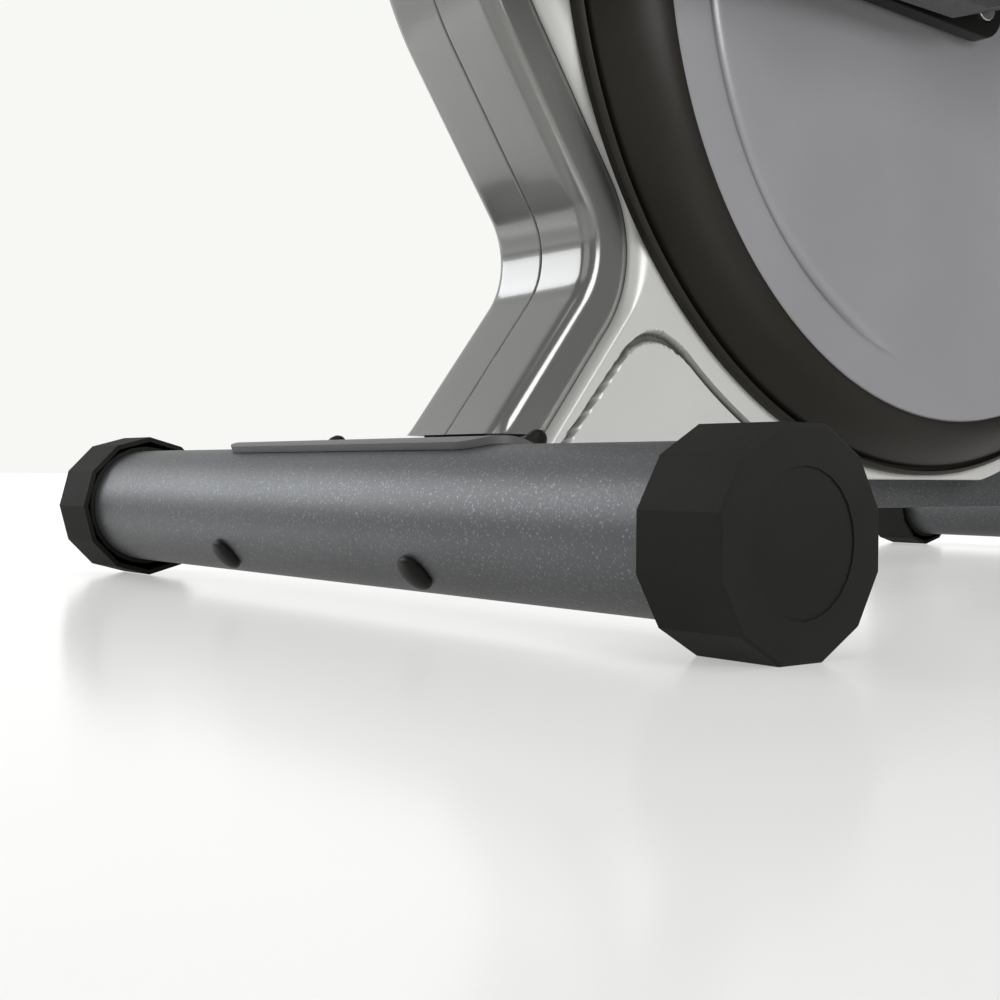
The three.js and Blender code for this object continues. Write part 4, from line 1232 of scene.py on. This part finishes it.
@dataclass
class UpperFrame:
    """The mast, swing arms, handles with their foam grips, and the fixed handlebar."""

    lean: float = math.asin(0.12 / 0.44)
    mast_radius: float = 0.022
    mast_bore: float = 0.0195
    arm_radius: float = 0.015
    handle_radius: float = 0.0148
    handle_bore: float = 0.0128
    boss: tuple[float, float] = (0.076, 0.112)
    foot: tuple[float, float] = (0.144, 0.176)
    foot_drop: float = 0.44
    axle_bore: float = 0.0103
    grip_radius: float = 0.0185
    grip_bore: float = 0.0152
    grip_ease: float = 0.004
    grip_span: tuple[float, float] = (0.3, 0.94)
    bar_radius: float = 0.012
    mast_arm: tuple[float, float] = (0.021, 0.072)
    mast_arm_radius: float = 0.017
    boss_radius: float = 0.022
    foot_radius: float = 0.017
    stub: tuple[float, float] = (0.141, 0.145)
    stub_radius: float = 0.007
    socket: tuple[float, float, float] = (0.014, 0.044, 0.074)
    socket_radius: float = 0.019
    leg_inset: float = 0.014
    leg_step: tuple[float, float] = (-0.07, -0.215)
    leg_bend: float = 0.034
    handle_start: float = 0.028
    handle_bends: tuple[float, float] = (0.13, 0.04)
    handle_elbow: tuple[float, float, float] = (-0.024, 0.215, 0.29)
    grip_foot: tuple[float, float, float] = (-0.05, 0.25, 0.425)
    grip_top: tuple[float, float, float] = (-0.038, 0.25, 0.612)
    bar_offset: float = 0.035
    pivot_x: float = field(init=False)
    pivot_z: float = field(init=False)
    mast_low: float = field(init=False)
    mast_high: float = field(init=False)

    def __post_init__(self) -> None:
        """Reads the pivot from the axle, and the mast's height from its box."""
        low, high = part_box("swing_axle")
        self.pivot_x, self.pivot_z = (low.x + high.x) / 2, (low.z + high.z) / 2
        low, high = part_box("mast")
        self.mast_low, self.mast_high = low.z, high.z

    def build(self) -> None:
        """Makes the pieces of the mast, both arms and the handlebar."""
        self.mast()
        self.handlebar()
        for side in Side:
            self.arm(side)
            self.handle(side)

    def placed(self, points: Sequence[Sequence[float]] | Array, side: Side) -> Array:
        """Puts points made for an upright left arm, with its pivot at the origin, in place.

        Args:
            points: the points, n by 3 or a single one.
            side: which arm, the left leaning back and the right forward.

        Returns:
            The points in the frame.
        """
        x, y, z = np.moveaxis(np.asarray(points, float), -1, 0)
        lean = side.value * self.lean
        along = self.pivot_x + x * math.cos(lean) - z * math.sin(lean)
        up = self.pivot_z + x * math.sin(lean) + z * math.cos(lean)
        return np.stack([along, y * side.value, up], -1)

    def mast(self) -> None:
        """A straight tube with a short round arm to each side for the swing axle."""
        z = np.linspace(self.mast_low, self.mast_high, 12)
        path = np.stack([np.full_like(z, self.pivot_x), 0 * z, z], -1)
        dress(swept("mast_tube", path, self.mast_radius, self.mast_bore, sides=64), "mast")
        for side in Side:
            name, ends = f"mast_arm_{side.word}", self.ends(self.mast_arm, side)
            piece = turned_bar(name, (self.pivot_x, self.pivot_z), self.mast_arm_radius, ends, self.axle_bore)
            dress(piece, "mast", stands=False)

    @staticmethod
    def ends(span: tuple[float, float], side: Side) -> tuple[float, float]:
        """A span given for the left side, on either side, lower end first."""
        low, high = sorted(side.value * v for v in span)
        return low, high

    def arm(self, side: Side) -> None:
        """A leg that steps outwards, the boss on the axle, the foot with its stub, and the handle's socket.

        Args:
            side: which arm.
        """
        y, foot_y = sum(self.boss) / 2, sum(self.foot) / 2
        node = f"swing_arm_{side.word}"
        upper = [[0, y, -self.leg_inset], [0, y, self.leg_step[0]]]
        lower = [[0, foot_y, self.leg_step[1]], [0, foot_y, self.leg_inset - self.foot_drop]]
        leg = self.placed(rounded_run(upper + lower, self.leg_bend), side)
        dress(swept(node + "_leg", leg, self.arm_radius), node)
        axis = (self.pivot_x, self.pivot_z)
        boss = turned_bar(node + "_boss", axis, self.boss_radius, self.ends(self.boss, side), self.axle_bore)
        dress(boss, node, stands=False)
        x, _, z = self.placed([0, 0, -self.foot_drop], side)
        foot = turned_bar(node + "_foot", (x, z), self.foot_radius, self.ends(self.foot, side))
        dress(foot, node, stands=False)
        stub = turned_bar(node + "_stub", (x, z), self.stub_radius, self.ends(self.stub, side))
        dress(stub, node, stands=False)
        run = self.placed(rounded_run([[0, y, rise] for rise in self.socket], 0.01, 4), side)
        socket = swept(node + "_socket", run, self.socket_radius, self.grip_bore)
        dress(socket, node, stands=False)

    def handle(self, side: Side) -> None:
        """A bent tube, and a foam sleeve whose ends are quarter circles.

        Args:
            side: which handle.
        """
        y = sum(self.boss) / 2
        foot, top = np.array(self.grip_foot), np.array(self.grip_top)
        first_bend, bend_reach = self.handle_bends
        corners = [[0, y, self.handle_start], [0, y, first_bend], self.handle_elbow, foot, top]
        path = self.placed(rounded_run(corners, bend_reach), side)
        tube = swept(f"handle_tube_{side.word}", path, self.handle_radius, self.handle_bore)
        dress(tube, f"handle_{side.word}")
        low, high = self.grip_span
        share = low + (high - low) * (1 - np.cos(np.linspace(0, np.pi, 60))) / 2
        length = np.linalg.norm(top - foot)
        inset = np.minimum(share - low, high - share) * length
        short = np.clip(self.grip_ease - inset, 0, None)
        radius = self.grip_radius - self.grip_ease + np.sqrt(np.clip(self.grip_ease**2 - short**2, 0, None))
        run = self.placed(foot + share[:, None] * (top - foot), side)
        radius = np.maximum(radius, self.grip_bore + 0.0004)
        grip = swept(f"foam_grip_{side.word}", run, radius, self.grip_bore, sides=64)
        dress(grip, f"handle_grip_{side.word}")

    def handlebar(self) -> None:
        """A bar bent back on both sides, and the block that clamps it to the mast."""
        x = self.pivot_x - self.bar_offset
        half = [[x, 0.062, 1.085], [x - 0.034, 0.112, 1.108], [x - 0.12, 0.112, 1.15]]
        corners = [*half[::-1], *([px, -py, pz] for px, py, pz in half)]
        bar = swept("handlebar_tube", rounded_run(corners, 0.02), self.bar_radius, across=(0, 0, 1))
        dress(bar, "fixed_handlebar")
        high = [self.pivot_x - self.mast_radius - 0.0003, 0.018, 1.103]
        clamp = rounded_block("handlebar_clamp", [x, -0.018, 1.067], high)
        dress(clamp, "fixed_handlebar", sharp=60, stands=False)


@dataclass
class FootTread:
    """The ribbed rubber mat in a foot pedal."""

    margin: float = 0.008
    floor: float = 0.0073
    base: float = 0.0012
    rib: float = 0.0018
    pitch: float = 0.0095
    corner: float = 0.019

    def build(self) -> None:
        """A sheet with lengthwise ribs, (1 + cos) / 2 high across its width, drawn in at the corners."""
        for side in Side:
            low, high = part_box(f"foot_pedal_{side.word}")
            x = np.linspace(low.x + self.margin, high.x - self.margin, 90)[:, None]
            edge = np.minimum(x - x[0], x[-1] - x)
            short = np.clip(self.corner - edge, 0, None)
            half = (high.y - low.y) / 2 - self.margin
            width = half - self.corner + np.sqrt(self.corner**2 - short**2)
            across = np.linspace(-1, 1, 150)[None, :] * width
            fade = smooth_step((width - np.abs(across)) / 0.004) * smooth_step((edge + 0.0001) / 0.004)
            height = self.base + self.rib * fade * (1 + np.cos(2 * np.pi * across / self.pitch)) / 2
            y = (low.y + high.y) / 2 + across
            z = low.z + self.floor
            top = np.stack([x + 0 * y, y, z + height], -1)
            under = np.stack([x + 0 * y, y, z + 0 * y], -1)
            mat = walled(f"foot_tread_{side.word}", top, under)
            dress(mat, f"foot_pedal_{side.word}", slot="rubber", stands=False)


@dataclass
class Machine:
    """Everything else: each remaining node is welded and its edges eased."""

    bevel: float = 0.0008
    wide_bevels: tuple[tuple[str, float], ...] = (
        ("console_housing", 0.003),
        ("mast_collar", 0.002),
        ("main_beam", 0.002),
    )

    def build(self) -> None:
        """Refines every node that no other piece stands for."""
        wide = dict(self.wide_bevels)
        for node, obj in frame["nodes"].items():
            if not obj.hide_render:
                refined(node, wide.get(node, self.bevel))


@dataclass(frozen=True)
class SoftBox:
    """A square area light: where it stands and how wide it is, in metres, its power in watts, its colour."""

    name: str
    place: tuple[float, float, float]
    size: float
    power: float
    colour: tuple[float, float, float] = (1.0, 1.0, 1.0)


@dataclass
class Studio:
    """A pale floor, soft boxes and the camera."""

    datum: Datum
    camera_offset: tuple[float, float, float] = (0.438653, 0.683562, 0.023403)
    forward: tuple[float, float, float] = (-0.61962, -0.78470, -0.01766)
    upward: tuple[float, float, float] = (-0.00519, -0.01840, 0.99982)
    lens: float = 52.367
    dim: float = 0.13
    bright: tuple[float, float, float] = (0.8, 0.81, 0.8)
    bright_side: tuple[float, float, float] = (-0.35, -0.9, -0.05)
    backdrop: tuple[float, float, float] = (0.93, 0.94, 0.91)
    glow: float = 0.4
    glow_colour: tuple[float, float, float] = (1.0, 0.995, 0.965)
    fade_reach: tuple[float, float] = (1.0, 4.0)
    aim: tuple[float, float, float] = (0.2, 0.0, 0.2)
    lights: tuple[SoftBox, ...] = (
        SoftBox("top", (0.3, 0.4, 4.2), 3.2, 72),
        SoftBox("front", (3.4, 0.5, 1.5), 2.6, 24),
        SoftBox("side", (0.2, 3.4, 1.6), 1.8, 92),
        SoftBox("far", (1.7, -2.0, 1.15), 1.4, 30, (0.95, 0.975, 1.0)),
    )

    def build(self) -> None:
        """Sets the stage, lights and camera."""
        self.floor()
        self.world()
        for box in self.lights:
            self.soft_box(box)
        self.camera()

    def floor(self) -> None:
        """A wide glossy pale floor."""
        reach = 40.0
        mesh = bpy.data.meshes.new("floor")
        corners = [(-reach, -reach, 0), (reach, -reach, 0), (reach, reach, 0), (-reach, reach, 0)]
        mesh.from_pydata(corners, [], [(0, 1, 2, 3)])
        obj = bpy.data.objects.new("floor", mesh)
        bpy.context.scene.collection.objects.link(obj)
        mesh.materials.append(self.floor_material())
        obj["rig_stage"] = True

    def floor_material(self) -> bpy.types.Material:
        """A glossy white table that glows a little near the machine and meets the surround far from it.

        Returns:
            The material.
        """
        made = bpy.data.materials.new("table")
        made.use_nodes = True
        tree = made.node_tree
        shader = tree.nodes["Principled BSDF"]
        shader.inputs["Roughness"].default_value = 0.16
        place = tree.nodes.new("ShaderNodeTexCoord").outputs["Object"]
        away = tree.nodes.new("ShaderNodeVectorMath")
        away.operation = "LENGTH"
        tree.links.new(place, away.inputs[0])
        shader.inputs["Emission Color"].default_value = (*self.glow_colour, 1)
        glow = self._faded(tree, away.outputs["Value"], self.glow, 0.9)
        tree.links.new(glow, shader.inputs["Emission Strength"])
        colour = self._faded(tree, away.outputs["Value"], 0.42, 0.02)
        tree.links.new(colour, shader.inputs["Base Color"])
        return made

    def _faded(self, tree: Tree, away: Socket, near: float, far: float) -> Socket:
        """Makes a value that goes smoothly from near to far with the distance from the machine.

        Args:
            tree: the material's nodes.
            away: the distance.
            near: the value by the machine.
            far: the value far from it.

        Returns:
            The value.
        """
        ramp = tree.nodes.new("ShaderNodeMapRange")
        ramp.interpolation_type = "SMOOTHSTEP"
        ramp.inputs["From Min"].default_value = self.fade_reach[0]
        ramp.inputs["From Max"].default_value = self.fade_reach[1]
        ramp.inputs["To Min"].default_value = near
        ramp.inputs["To Max"].default_value = far
        tree.links.new(away, ramp.inputs["Value"])
        return ramp.outputs["Result"]

    def world(self) -> None:
        """A surround that lights the machine most from behind; straight to the eye it is evenly pale."""
        world = bpy.data.worlds.new("studio")
        world.use_nodes = True
        back = world.node_tree.nodes["Background"]
        tree = world.node_tree
        sky = tree.nodes.new("ShaderNodeTexCoord").outputs["Generated"]
        toward = tree.nodes.new("ShaderNodeVectorMath")
        toward.operation = "DOT_PRODUCT"
        toward.inputs[1].default_value = self.bright_side
        tree.links.new(sky, toward.inputs[0])
        ramp = tree.nodes.new("ShaderNodeValToRGB")
        ramp.color_ramp.elements[0].position = 0.1
        ramp.color_ramp.elements[0].color = (self.dim, self.dim, self.dim, 1)
        ramp.color_ramp.elements[1].position = 0.7
        ramp.color_ramp.elements[1].color = (*self.bright, 1)
        tree.links.new(toward.outputs["Value"], ramp.inputs["Fac"])
        seen = tree.nodes.new("ShaderNodeMix")
        seen.data_type = "RGBA"
        seen.inputs[MIX_SECOND].default_value = (*self.backdrop, 1)
        path = tree.nodes.new("ShaderNodeLightPath")
        tree.links.new(path.outputs["Is Camera Ray"], seen.inputs[MIX_SHARE])
        tree.links.new(ramp.outputs["Color"], seen.inputs[MIX_FIRST])
        tree.links.new(seen.outputs[MIX_RESULT], back.inputs["Color"])
        bpy.context.scene.view_settings.view_transform = "Standard"
        bpy.context.scene.world = world

    def soft_box(self, box: SoftBox) -> None:
        """Places one light, pointed at the machine.

        Args:
            box: the light.
        """
        light = bpy.data.lights.new(box.name, "AREA")
        light.size = box.size
        light.energy = box.power
        light.color = box.colour
        obj = bpy.data.objects.new(box.name, light)
        obj.location = box.place
        obj.rotation_euler = (Vector(self.aim) - Vector(box.place)).to_track_quat("-Z", "Y").to_euler()
        bpy.context.scene.collection.objects.link(obj)

    def camera(self) -> None:
        """A low three-quarter view of the front stabiliser from the machine's left."""
        data = bpy.data.cameras.new("camera")
        data.lens = self.lens
        data.sensor_width = 36.0
        data.clip_start = 0.01
        obj = bpy.data.objects.new("camera", data)
        back = -Vector(self.forward).normalized()
        right = Vector(self.upward).cross(back).normalized()
        up = back.cross(right)
        axis = Vector((self.datum.front_x, 0, self.datum.axis_z))
        turn = Matrix((right, up, back)).transposed().to_4x4()
        obj.matrix_world = Matrix.Translation(axis + Vector(self.camera_offset)) @ turn
        bpy.context.scene.collection.objects.link(obj)
        bpy.context.scene.camera = obj


def clear_start() -> None:
    """Removes whatever the empty file held besides the frame."""
    kept = set(frame["nodes"].values()) | set(frame["bodies"].values())
    for obj in [o for o in bpy.data.objects if o not in kept]:
        bpy.data.objects.remove(obj)


def check_finishes() -> None:
    """Stops if a shown piece still wears a plain material without a worked finish."""
    plain = [o.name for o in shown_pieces() for m in o.data.materials if len(m.node_tree.nodes) < FINISH_NODES]
    if plain:
        raise ValueError(f"pieces without a worked finish: {sorted(plain)}")


def corners() -> list[list[float]]:
    """The shown object's lowest and highest corner as plain lists."""
    return [list(p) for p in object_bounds()]


def main() -> None:
    """Builds the trainer round its frame and the studio round the trainer."""
    logging.basicConfig(level=logging.INFO)
    clear_start()
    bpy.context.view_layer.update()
    datum = Datum.read()
    line = PostLine(datum)
    for end in ("front", "rear"):
        Stabiliser(datum, end).build()
    Post(line).build()
    Casing(line, datum).build()
    UpperFrame().build()
    FootTread().build()
    Machine().build()
    Studio(datum).build()
    check_finishes()


if __name__ == "__main__":
    main()
